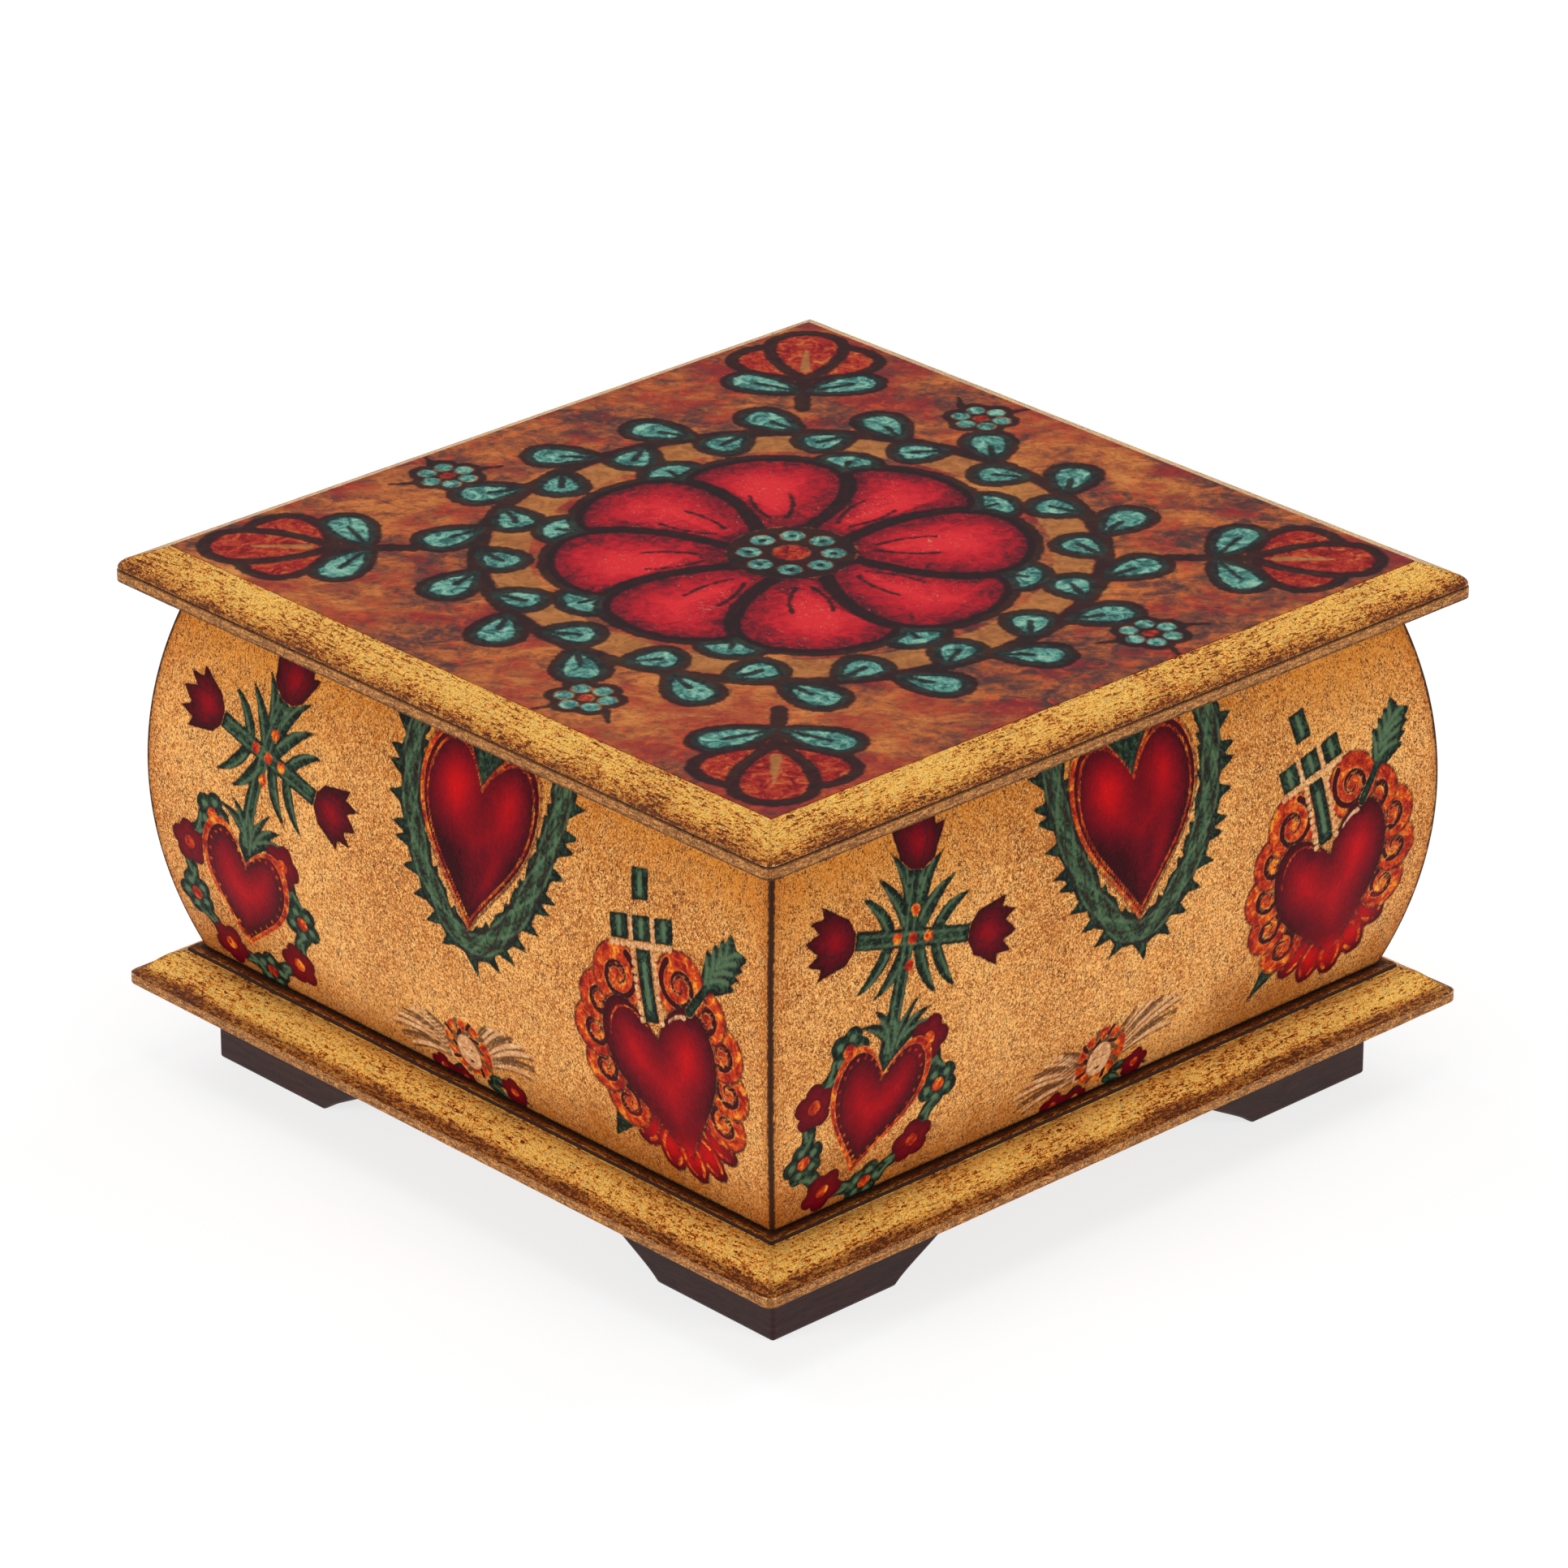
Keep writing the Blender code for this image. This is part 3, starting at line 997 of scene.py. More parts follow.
    def thorny_heart(self, place: Place) -> None:
        """Draws a long rimmed heart within a wreath of thorns."""
        left = bezier((-12.8, 21.0), (-21.8, 9.0), (-11.5, -16.0), (0.6, -19.6), 24)
        right = bezier((0.6, -19.6), (12.5, -16.0), (22.2, 8.0), (15.0, 21.0), 24)
        spine = np.array(left + right[1:])
        along = np.concatenate(((0,), np.cumsum(np.hypot(*np.diff(spine, axis=0).T))))
        ahead = np.gradient(spine, axis=0)
        ahead /= np.hypot(ahead[:, 0], ahead[:, 1])[:, None]
        aside = np.column_stack((-ahead[:, 1], ahead[:, 0]))
        for side, length, start in ((-1, 4.4, 0.6), (1, 2.4, 2.4)):
            for distance in np.arange(start, along[-1], 3.6):
                i = int(np.argmin(abs(along - distance)))
                way = 1 if spine[i][0] > 0 else -1
                foot = spine[i] + aside[i] * side * 0.8
                tip = foot + aside[i] * side * length + ahead[i] * way * 1.5
                a, b = place.at((foot, tip))
                self.stroke("leaf", np.array((a, b)), np.array((3.6, 0.15)))
        self.stroke("leaf", place.at(spine), 4.9 + 0.9 * np.sin(along * 0.9))
        for i in range(6):
            twist = spine + aside * (1.9 * np.sin(along * 0.21 + i * math.pi / 3))[:, None]
            self.stroke("ink" if i % 2 else "vein", place.at(twist), 0.42)
        outer, inner = place.moved(0.0, -1.5), place.moved(0.3, -1.5)
        self.fill("rim", outer.at(heart(27.0, 31.4)), over=True)
        self.closed("ink", outer.at(heart(27.4, 31.8)), 0.44)
        self.fill("crimson", inner.at(heart(25.9, 30.3)), over=True)
        self.closed("rim", inner.at(heart(24.0, 28.2)), 0.34)
        self.fill("crimson", inner.at(heart(23.5, 27.6)), over=True)
        for side in (-1, 1):
            for tip_x, tip_y in ((4.4, 9.6), (7.4, 14.6), (3.2, 15.6)):
                self.blade(*place.at(((0.0, 6.6), (side * tip_x, tip_y))), 3.0, side * 0.2, vein=False)
        self.glow(place.at((-4.4, 6.0)), (6.4, 5.0), 20, 0.72)
        self.glow(place.at((7.0, 6.0)), (3.4, 5.0), 10, 0.46)
        self.glow(place.at((4.4, -6.8)), (1.6, 5.4), -26, 0.44)
        self.glow(place.at((-1.4, -4.6)), (5.6, 5.6), 14, -0.30)

    def winged_head(self, place: Place) -> None:
        """Draws a small plain head between two spread wings, over small flowers."""
        for side in (-1, 1):
            for i in range(8):
                lean = math.radians(4 + 6.5 * i + (4 if side > 0 else -10))
                reach = 18.5 - 1.5 * abs(i - 2)
                start, end = ((side * math.cos(lean) * r, math.sin(lean) * r - 1.2) for r in (3.6, reach))
                feather = place.at(bow(start, end, side * 0.07))
                self.stroke("ink" if i % 3 == 1 else "pale", feather, np.linspace(1.5, 0.5, len(feather)))
                self.stroke("ink", feather[1:] - (0, 0.75), 0.42, over=True)
        for x, y, radius in ((-8.6, -5.4, 2.9), (8.8, -4.4, 2.9), (-3.6, -6.0, 2.4)):
            self.blossom(place.at((x, y))[0], radius, True, 15.0)
        for leaf in (((-4, -4), (-12.5, -7.4)), ((4, -3.4), (12.6, -6.6)), ((3.0, -5.0), (6.6, -8.2))):
            self.blade(*place.at(leaf), 2.2, 0.1)
        self.fill("rim", place.at(circle((0, 0), 5.3, 20) * (1.0, 1.05) + (0.2, 1.4)), over=True)
        for i in range(9):
            curl = round_about(bow((3.1, -1.4), (5.2, 1.2), 0.5), 20 + i * 36) + (0.2, 1.4)
            self.stroke("crimson" if i % 2 else "ink", place.at(curl), 0.9, over=True)
        face = place.at(circle((0, 0), 2.8, 20) * (0.9, 1.2) + (0, 0.5))
        self.fill("pale", face, over=True)
        self.closed("ink", face, 0.34)
        for side in (-1, 1):
            self.stroke("ink", place.at(((side * 0.6, 1.0), (side * 1.4, 1.0))), 0.40, over=True)
            self.dot("crimson", place.at((side * 0.3, -1.3)), 0.36, over=True)

    def scroll(self, middle: np.ndarray, radius: float, start: float, hand: int) -> None:
        """Draws one lobe of the scrolled frame: a fiery disc with red curls.

        Args:
            middle: its middle.
            radius: its reach.
            start: where the outer curl starts, in degrees.
            hand: 1 for an anticlockwise curl, -1 for a clockwise one.
        """
        self.dot("rim", middle, radius, over=True)
        self.closed("ink", circle(middle, radius, 16), 0.46)
        t = np.linspace(0, 1, 22)
        for shift, width, outer in ((0, 1.3, radius - 1.1), (180, 0.9, radius * 0.56)):
            turn = math.radians(start + shift) + hand * t * math.radians(400)
            reach = outer * (1 - 0.8 * t)
            path = middle + np.column_stack((np.cos(turn), np.sin(turn))) * reach[:, None]
            self.stroke("crimson", path, np.linspace(width, 0.4, 22), over=True)

    def flame(self, place: Place) -> None:
        """Draws a rounded flame that points up its own place."""
        outline = circle((0, 0), 1.0, 16) * (3.0, 4.8)
        self.fill("crimson", place.at(outline), over=True)
        self.closed("ink", place.at(outline), 0.36)
        for side in (-1, 1):
            self.stroke("rim", place.at(bow((side * 0.9, -3.0), (side * 0.9, 3.2), side * -0.16)), 0.6)
        self.glow((place.x, place.y), (3.0, 3.0), 0.0, 0.80)

    def scroll_heart(self, place: Place) -> None:
        """Draws a plain heart in a frame of scrolls, with a dotted stem above and a leafy dart behind."""
        tip, back = place.at(((-18.5, -16.9), (-6.0, -5.0)))
        self.stroke("leaf", np.array((tip + (back - tip) * 0.2, back)), 1.6)
        head = Place(*tip, place.lean + 43.4)
        self.fill("leaf", head.at(((0.0, 0.0), (8.2, 2.7), (6.2, 0.6), (6.2, -0.6), (8.2, -2.7))))
        for turn in (226, 314, 248, 292, 270):
            angle = math.radians(turn)
            self.flame(place.moved(11.4 * math.cos(angle), 15.8 * math.sin(angle) - 1.6, turn - 90))
        for hand in (1, -1):
            for up, radius in ((-40, 4.7), (-14, 4.5), (12, 4.8), (36, 4.6), (62, 5.6)):
                turn = up if hand > 0 else 180 - up
                angle = math.radians(turn)
                spot = place.at((14.8 * math.cos(angle), 14.2 * math.sin(angle) - 0.2))[0]
                self.scroll(spot, radius, turn + place.lean + 60 * hand, hand)
        low = place.moved(0.0, -4.2)
        self.fill("crimson", low.at(heart(25.6, 27.0)), over=True)
        self.closed("ink", low.at(heart(25.9, 27.3)), 0.42)
        shine = low.at(heart(22.2, 23.6))
        self.stroke("pale", shine[7:12], np.linspace(0.2, 0.8, 5))
        self.stroke("rim", shine[55:68], 0.3)
        self.glow(place.at((-5.0, 0.6)), (5.0, 4.2), 30, 0.34)
        self.glow(place.at((5.8, 0.8)), (4.8, 4.8), -20, 0.44)
        self.glow(place.at((1.0, -9.0)), (5.0, 5.0), 0, 0.20)
        self.dotted_stem(place.moved(-0.4, 5.6, 1.0))
        self.dart_feathers(place)

    def dotted_stem(self, place: Place) -> None:
        """Draws an upright green strip under a row of three squares and a fourth, edged with pale dots."""
        for x, y, width, height in (
            (0.0, 5.8, 3.2, 11.6),
            (-4.9, 14.8, 4.0, 4.0),
            (0.0, 14.8, 4.0, 4.0),
            (4.9, 14.8, 4.0, 4.0),
            (0.0, 21.6, 3.6, 5.0),
        ):
            square = np.array(((-1, -1), (1, -1), (1, 1), (-1, 1))) * (width / 2, height / 2) + (x, y)
            self.fill("leaf", place.at(square), over=True)
            self.stroke("vein", place.at(((x, y - height * 0.3), (x, y + height * 0.3))), 0.9)
        edge = [(side * 2.3, y) for side in (-1, 1) for y in np.arange(0.2, 11.6, 1.3)]
        edge += [(x, 12.1) for x in np.arange(-7.0, 7.1, 1.3)]
        edge += [(side * 2.45, y) for side in (-1, 1) for y in np.arange(13.3, 17.0, 1.3)]
        for spot in edge:
            self.dot("pale", place.at(spot), 0.5, over=True)

    def dart_feathers(self, place: Place) -> None:
        """Draws the leafy end of the dart, over the frame."""
        shaft = place.at(((8.4, 8.5), (16.0, 15.7)))
        self.stroke("leaf", shaft, 1.7, over=True)
        way, aside = headings(shaft)
        for i in range(4):
            for side in (-1, 1):
                foot = shaft[1] + way * (i * 1.9 - 4.0)
                tip = foot + way * 4.6 + aside * side * (4.2 - 0.5 * i)
                self.blade(foot, tip, 3.3, side * -0.12)


class LidPrint(Canvas):
    """The lid's picture: a great rosette in a leafy ring, with a tulip spray in each corner."""

    def __init__(self, x: np.ndarray, y: np.ndarray) -> None:
        """Draws the picture.

        Args:
            x: the points' places from the lid's middle.
            y: the same, towards the back.
        """
        # The layer is called fire because the renderer keeps the name flame for smoke.
        super().__init__(x, y, ("ochre", "fire", "red", "teal", "ink"))
        self.ring(49.5, 18)
        self.rosette(Place(0.0, 0.0, 10.0))
        for lean in (0, 90, 180, 270):
            self.spray(Place(0.0, 0.0, lean))
            self.small_flower(Place(0.0, 0.0, lean))

    def outlined(self, colour: str, outline: np.ndarray, line: float) -> None:
        """Fills a shape and draws a dark line round it."""
        self.fill(colour, outline, over=True)
        self.closed("ink", outline, line)

    def petal(self, place: Place, length: float, width: float) -> np.ndarray:
        """A round-headed petal that starts at its place and points along it.

        Args:
            place: its foot and direction.
            length: its length.
            width: its greatest width.

        Returns:
            The outline's points.
        """
        handles = (length * 0.30, width * 0.50), (length * 0.95, width * 0.86)
        upper = bezier((0, 0), *handles, (length, 0), 14)
        lower = [(x, -y) for x, y in upper[::-1][1:-1]]
        return place.at(upper + lower)

    def rosette(self, place: Place) -> None:
        """Draws eight red petals, a tuft of small teal leaves between them and a beaded eye."""
        petals = 8
        for i in range(petals):
            leaf = place.moved(0.0, 0.0, (i + 0.5) * 360 / petals).moved(25.0, 0.0)
            self.outlined("teal", self.petal(leaf, 16.5, 10.5), 2.3)
            self.stroke("ink", leaf.at(((9.5, 0.0), (13.2, 0.0))), 1.0)
        for i in range(petals):
            petal = place.moved(0.0, 0.0, i * 360 / petals).moved(6.0, 0.0)
            self.outlined("red", self.petal(petal, 33.0, 25.5), 2.8)
            self.glow(petal.at((17.0, 1.0)), (10.0, 5.0), petal.lean, 0.60)
            for side in (-1, 1):
                self.stroke("ink", petal.at(bow((8.0, side * 1.2), (17.5, side * 3.2), side * 0.08)), 0.8)
        self.dot("ink", (0, 0), 10.4, over=True)
        for spot in circle((0, 0), 6.7, 8):
            self.dot("teal", spot, 2.0, over=True)
            self.dot("ink", spot, 0.7)
        self.dot("fire", (0, 0), 3.0, over=True)

    def ring(self, radius: float, leaves: int) -> None:
        """Draws a dark vine round the rosette, with teal leaves inside and out."""
        self.closed("ochre", circle((0, 0), radius - 5.0, 90), 6.4)
        self.closed("ink", circle((0, 0), radius, 90), 3.2)
        for i in range(leaves):
            for side in (-1, 1):
                foot = Place(0.0, 0.0, (i + 0.25 * side) * 360 / leaves)
                leaf = foot.moved(radius, 0.0, 90 - side * 42)
                self.outlined("teal", self.petal(leaf, 12.4 if side > 0 else 9.8, 7.6), 2.5)
                self.stroke("ink", leaf.at(((1.5, 0.0), (6.4, 0.0))), 1.2)

    def spray(self, place: Place) -> None:
        """Draws a flame-coloured tulip on two teal leaves, pointing into a corner."""
        spray = place.moved(46.4, 46.4, 45)
        self.stroke("ink", spray.at(((-6.0, 0.0), (10.0, 0.0))), 2.8)
        for side in (-1, 1):
            leaf = spray.moved(1.0, 0.0, side * 64)
            self.outlined("teal", self.petal(leaf, 14.0, 7.6), 2.2)
            self.stroke("ink", leaf.at(((2.0, 0.0), (9.0, 0.0))), 1.0)
        for lean, length in ((-36, 16.0), (36, 16.0), (0, 20.5)):
            petal = spray.moved(6.8, 0.0, lean)
            self.outlined("fire", self.petal(petal, length, 12.0), 2.4)
            rib = petal.at(((4.0, 0.0), (length * 0.62, 0.0)))
            self.stroke("ochre", rib, np.array((2.0, 0.8)), over=True)

    def small_flower(self, place: Place) -> None:
        """Draws a cluster of teal dots in dark paint, near the middle of a side."""
        flower = place.moved(60.6, 19.0)
        middle = (flower.x, flower.y)
        for twig in (((-1.0, 3.0), (3.6, 9.0)), ((0.0, -3.0), (-3.0, -9.0)), ((2.0, 0.0), (8.6, -2.6))):
            self.stroke("ink", flower.at(twig), np.array((2.4, 0.7)))
        self.dot("ink", middle, 5.6, over=True)
        for spot in circle(middle, 3.6, 6):
            self.dot("ink", spot, 3.0)
        for spot in circle(middle, 3.5, 6):
            self.dot("teal", spot, 1.55, over=True)
        self.dot("fire", middle, 1.2, over=True)


# Geometry trees


def run_tree(
    base: bpy.types.Mesh, tree: bpy.types.NodeTree, inputs: dict[str, object]
) -> bpy.types.Mesh:
    """Runs a geometry tree on a mesh and returns the result as a plain mesh.

    Args:
        base: the mesh that the tree starts from.
        tree: the tree.
        inputs: its inputs by name.

    Returns:
        The finished mesh.
    """
    holder = bpy.data.objects.new("holder", base)
    bpy.context.scene.collection.objects.link(holder)
    modifier = holder.modifiers.new("shape", "NODES")
    modifier.node_group = tree
    for item in tree.interface.items_tree:
        if item.item_type == "SOCKET" and item.in_out == "INPUT" and item.name in inputs:
            modifier[item.identifier] = inputs[item.name]
    depsgraph = bpy.context.evaluated_depsgraph_get()
    shown = holder.evaluated_get(depsgraph)
    mesh = bpy.data.meshes.new_from_object(shown, preserve_all_data_layers=True, depsgraph=depsgraph)
    holder.modifiers.remove(modifier)
    bpy.data.objects.remove(holder, do_unlink=True)
    return mesh


class TreeInput(Enum):
    """Kinds of input that a geometry tree can have."""

    GEOMETRY = "NodeSocketGeometry"
    WHOLE = "NodeSocketInt"
    NUMBER = "NodeSocketFloat"
    MATERIAL = "NodeSocketMaterial"


class ShapeTree(NodeWriter):
    """A geometry tree with named inputs."""

    def __init__(self, name: str, inputs: dict[str, TreeInput]) -> None:
        """Starts the tree with its inputs and one output.

        Args:
            name: the tree's name.
            inputs: its inputs, the geometry first.
        """
        super().__init__(bpy.data.node_groups.new(name, "GeometryNodeTree"))
        for label, kind in inputs.items():
            self.tree.interface.new_socket(label, in_out="INPUT", socket_type=kind.value)
        self.tree.interface.new_socket("Piece", in_out="OUTPUT", socket_type=TreeInput.GEOMETRY.value)
        self.given = self.add("NodeGroupInput").outputs

    def named(self, name: str, kind: str = "FLOAT") -> bpy.types.NodeSocket:
        """Reads an attribute by its name."""
        node = self.add("GeometryNodeInputNamedAttribute", {"Name": name}, data_type=kind)
        return next(s for s in node.outputs if s.name == "Attribute" and s.enabled)

    def store(
        self, shape: object, name: str, value: object, kind: str, domain: str = "POINT"
    ) -> bpy.types.NodeSocket:
        """Stores an attribute.

        Args:
            shape: the geometry.
            name: the attribute's name.
            value: what is stored.
            kind: its data type.
            domain: where it is stored.

        Returns:
            The geometry.
        """
        values = {"Geometry": shape, "Name": name, "Value": value}
        node = self.add("GeometryNodeStoreNamedAttribute", values, data_type=kind, domain=domain)
        return node.outputs[0]

    def welded(self, shape: object) -> bpy.types.NodeSocket:
        """Makes instances real and joins the points that meet."""
        real = self.add("GeometryNodeRealizeInstances", {"Geometry": shape}).outputs[0]
        return self.add("GeometryNodeMergeByDistance", {"Geometry": real, "Distance": WELD}).outputs[0]

    def dented(self, shape: object) -> bpy.types.NodeSocket:
        """Pushes a board's painted faces in and out, as its "Dents", "Dent size" and "Seed" say.

        Args:
            shape: the board.

        Returns:
            The geometry.
        """
        place = self.add("GeometryNodeInputPosition").outputs[0]
        values = {"Vector": place, "W": self.given["Seed"], "Detail": 3.0}
        values["Scale"] = self.math("DIVIDE", 1.0, self.given["Dent size"])
        dents = self.add("ShaderNodeTexNoise", values, noise_dimensions="4D").outputs[0]
        push = self.math("MULTIPLY", self.math("SUBTRACT", dents, 0.5), self.given["Dents"])
        push = self.math("MULTIPLY", push, self.math("LESS_THAN", self.named("bare"), 0.5))
        normal = self.add("GeometryNodeInputNormal").outputs[0]
        offset = self.add("ShaderNodeVectorMath", {"Vector": normal, "Scale": push}, operation="SCALE")
        values = {"Geometry": shape, "Offset": offset.outputs[0]}
        return self.add("GeometryNodeSetPosition", values).outputs[0]

    def quarter_turns(self, shape: object) -> bpy.types.NodeSocket:
        """Repeats a shape at four quarter turns about the box's middle; each instance keeps its `side`."""
        spots = self.add("GeometryNodeMeshLine", {"Count": 4, "Offset": (0.0, 0.0, 0.0)}).outputs[0]
        side = self.add("GeometryNodeInputIndex").outputs[0]
        turn = self.vector(0.0, 0.0, self.math("MULTIPLY", side, math.pi / 2))
        values = {"Points": spots, "Instance": shape, "Rotation": turn}
        turned = self.add("GeometryNodeInstanceOnPoints", values).outputs[0]
        return self.store(turned, "side", side, "FLOAT", "INSTANCE")

    def end(self, shape: object) -> bpy.types.NodeTree:
        """Ends the tree: instances made real, then the coat, and the bare finish where `bare` says so.

        Args:
            shape: the geometry so far.

        Returns:
            The tree.
        """
        values = {"Geometry": self.welded(shape), "Material": self.given["Coat"]}
        coated = self.add("GeometryNodeSetMaterial", values)
        hidden = self.math("GREATER_THAN", self.named("bare"), 0.99)
        values = {"Geometry": coated.outputs[0], "Selection": hidden, "Material": self.given["Bare"]}
        last = self.add("GeometryNodeSetMaterial", values)
        self.add("NodeGroupOutput", {"Piece": last.outputs[0]})
        return self.tree


def moulding_tree() -> bpy.types.NodeTree:
    """A square board whose edge follows a profile.

    The profile is a chain of points with x the half width, y the corner's rounding and z the height.
    It is drawn out along one side between the mitres, then turned to the other three.

    Returns:
        The tree.
    """
    t = ShapeTree(
        "moulding_round_a_board",
        {
            "Profile": TreeInput.GEOMETRY,
            "Columns": TreeInput.WHOLE,
            "Crowding": TreeInput.NUMBER,
            "Dents": TreeInput.NUMBER,
            "Dent size": TreeInput.NUMBER,
            "Seed": TreeInput.NUMBER,
            "Coat": TreeInput.MATERIAL,
            "Bare": TreeInput.MATERIAL,
        },
    )
    size = t.add("GeometryNodeAttributeDomainSize", {"Geometry": t.given["Profile"]}, component="MESH")
    rows = size.outputs["Point Count"]
    grid = t.add("GeometryNodeMeshGrid", {"Vertices X": t.given["Columns"], "Vertices Y": rows}).outputs[0]
    index = t.add("GeometryNodeInputIndex").outputs[0]
    row = t.math("MODULO", index, rows)
    column = t.math("FLOOR", t.math("DIVIDE", t.math("ADD", index, 0.5), rows))
    last = t.math("SUBTRACT", t.given["Columns"], 1.0)
    even = t.math("SUBTRACT", t.math("MULTIPLY", t.math("DIVIDE", column, last), 2.0), 1.0)
    bunched = t.math("SINE", t.math("MULTIPLY", even, math.pi / 2))
    crowd = t.given["Crowding"]
    share = t.total((bunched, crowd), (even, t.math("SUBTRACT", 1.0, crowd)))

    def along_profile(value: object, kind: str) -> bpy.types.NodeSocket:
        """Looks a value up on the profile at this point's row."""
        values = {"Geometry": t.given["Profile"], "Value": value, "Index": row}
        node = t.add("GeometryNodeSampleIndex", values, data_type=kind, domain="POINT")
        return next(s for s in node.outputs if s.enabled)

    position = t.add("GeometryNodeInputPosition").outputs[0]
    half, rounding, height = t.parts(along_profile(position, "FLOAT_VECTOR"))
    reach = t.math("SUBTRACT", half, t.math("MULTIPLY", rounding, 1 - COS_45))
    x = t.math("MULTIPLY", share, reach)
    into = t.math("SUBTRACT", t.math("ABSOLUTE", x), t.math("SUBTRACT", half, rounding))
    into = t.math("MAXIMUM", into, 0.0)
    square = t.math("SUBTRACT", t.math("MULTIPLY", rounding, rounding), t.math("MULTIPLY", into, into))
    inset = t.math("SUBTRACT", rounding, t.math("SQRT", t.math("MAXIMUM", square, 0.0)))
    y = t.math("SUBTRACT", inset, half)
    # The wear vector carries glazing, dullness and rubbing; glazing and dullness also carry painted shade.
    wear = along_profile(t.named("wear", "FLOAT_VECTOR"), "FLOAT_VECTOR")
    shape = t.store(grid, "wear", wear, "FLOAT_VECTOR")
    shape = t.store(shape, "bare", along_profile(t.named("bare"), "FLOAT"), "FLOAT")
    track = t.vector(x, along_profile(t.named("across"), "FLOAT"), 0.0)
    shape = t.store(shape, "track", track, "FLOAT_VECTOR")
    values = {"Geometry": shape, "Position": t.vector(x, y, height)}
    shape = t.add("GeometryNodeSetPosition", values).outputs[0]
    shape = t.welded(t.quarter_turns(shape))
    there = t.parts(t.named("track", "FLOAT_VECTOR"))
    shape = t.store(shape, "track", t.vector(there[0], there[1], t.named("side")), "FLOAT_VECTOR")
    return t.end(t.dented(shape))


def round_the_box_tree() -> bpy.types.NodeTree:
    """A piece repeated at four quarter turns about the box's middle.

    Returns:
        The tree.
    """
    kinds = {"Piece": TreeInput.GEOMETRY, "Coat": TreeInput.MATERIAL, "Bare": TreeInput.MATERIAL}
    t = ShapeTree("round_the_box", kinds)
    return t.end(t.quarter_turns(t.given["Piece"]))


def one_side_tree() -> bpy.types.NodeTree:
    """A wall turned to its own side of the box.

    Returns:
        The tree.
    """
    kinds = {
        "Wall": TreeInput.GEOMETRY,
        "Turn": TreeInput.NUMBER,
        "Coat": TreeInput.MATERIAL,
        "Bare": TreeInput.MATERIAL,
    }
    t = ShapeTree("wall_on_its_side", kinds)
    turn = t.vector(0.0, 0.0, t.given["Turn"])
    values = {"Geometry": t.given["Wall"], "Rotation": turn}
    return t.end(t.add("GeometryNodeTransform", values).outputs[0])


# The box's sizes and pieces


@dataclass(frozen=True)
class BoxSizes:
    """The sizes that the pieces share, in metres, as the solids have them."""

    body_width: float = 133.8 * MM
    wall_bulge: float = 6.0 * MM
    wall_edge: float = 6.0 * MM
    lid_overhang: float = 9.1 * MM
    base_overhang: float = 9.2 * MM
    foot_height: float = 13.5 * MM
    base_board: float = 6.4 * MM
    wall_height: float = 64.5 * MM
    lid_board: float = 6.1 * MM
    print_lip: float = 0.15 * MM
    bead_width: float = 6.7 * MM
    corner_round: float = 1.9 * MM
    mitre_round: float = 0.2 * MM
    edge_wear: float = 0.25 * MM
    joint_gap: float = 0.3 * MM

    @property
    def base_top(self) -> float:
        """Height of the base board's upper face."""
        return self.foot_height + self.base_board

    @property
    def lid_under(self) -> float:
        """Height of the lid's overhanging underside."""
        return self.base_top + self.wall_height

    @property
    def lid_top(self) -> float:
        """Height of the lid's printed face."""
        return self.lid_under + self.lid_board

    @property
    def wall_half(self) -> float:
        """Half width of the body at the walls' edges."""
        return self.body_width / 2

    @property
    def inner_half(self) -> float:
        """Half width of the inside."""
        return self.wall_half - self.wall_edge

    @property
    def lid_half(self) -> float:
        """Half width of the lid."""
        return self.wall_half + self.lid_overhang

    @property
    def base_half(self) -> float:
        """Half width of the base board."""
        return self.wall_half + self.base_overhang

    @property
    def print_half(self) -> float:
        """Half width of the lid's printed paper."""
        return self.lid_half - self.bead_width


@dataclass(frozen=True)
class EdgePoint:
    """One point of a board's profile: half width, height, and how glazed, dull, rubbed and bare it is;
    glazing and dullness are partly painted shade.
    """

    half: float
    z: float
    glaze_and_painted_shade: float = 0.0
    dull_and_painted_shade: float = 0.0
    rubbed: float = 0.0
    bare: float = 0.0


def lower_arris(half: float, under: float, radius: float, glaze_and_painted_shade: float) -> list[EdgePoint]:
    """A rounded lower arris of a board, from below to above.

    Args:
        half: half width at the outer face.
        under: height of the underside.
        radius: the rounding.
        glaze_and_painted_shade: how much dark glazing there is, partly painted shade.

    Returns:
        Five points round a quarter turn.
    """
    points = []
    for turn in (math.pi / 2 * i / 4 for i in range(5)):
        out = half - radius + radius * math.sin(turn)
        points.append(EdgePoint(out, under + radius - radius * math.cos(turn), glaze_and_painted_shade, 1.0))
    return points


def keep_values(mesh: bpy.types.Mesh, name: str, values: Sequence[float] | np.ndarray) -> None:
    """Stores one value for each point of a mesh."""
    layer = mesh.attributes.new(name, "FLOAT", "POINT")
    layer.data.foreach_set("value", np.asarray(values, np.float32).ravel())


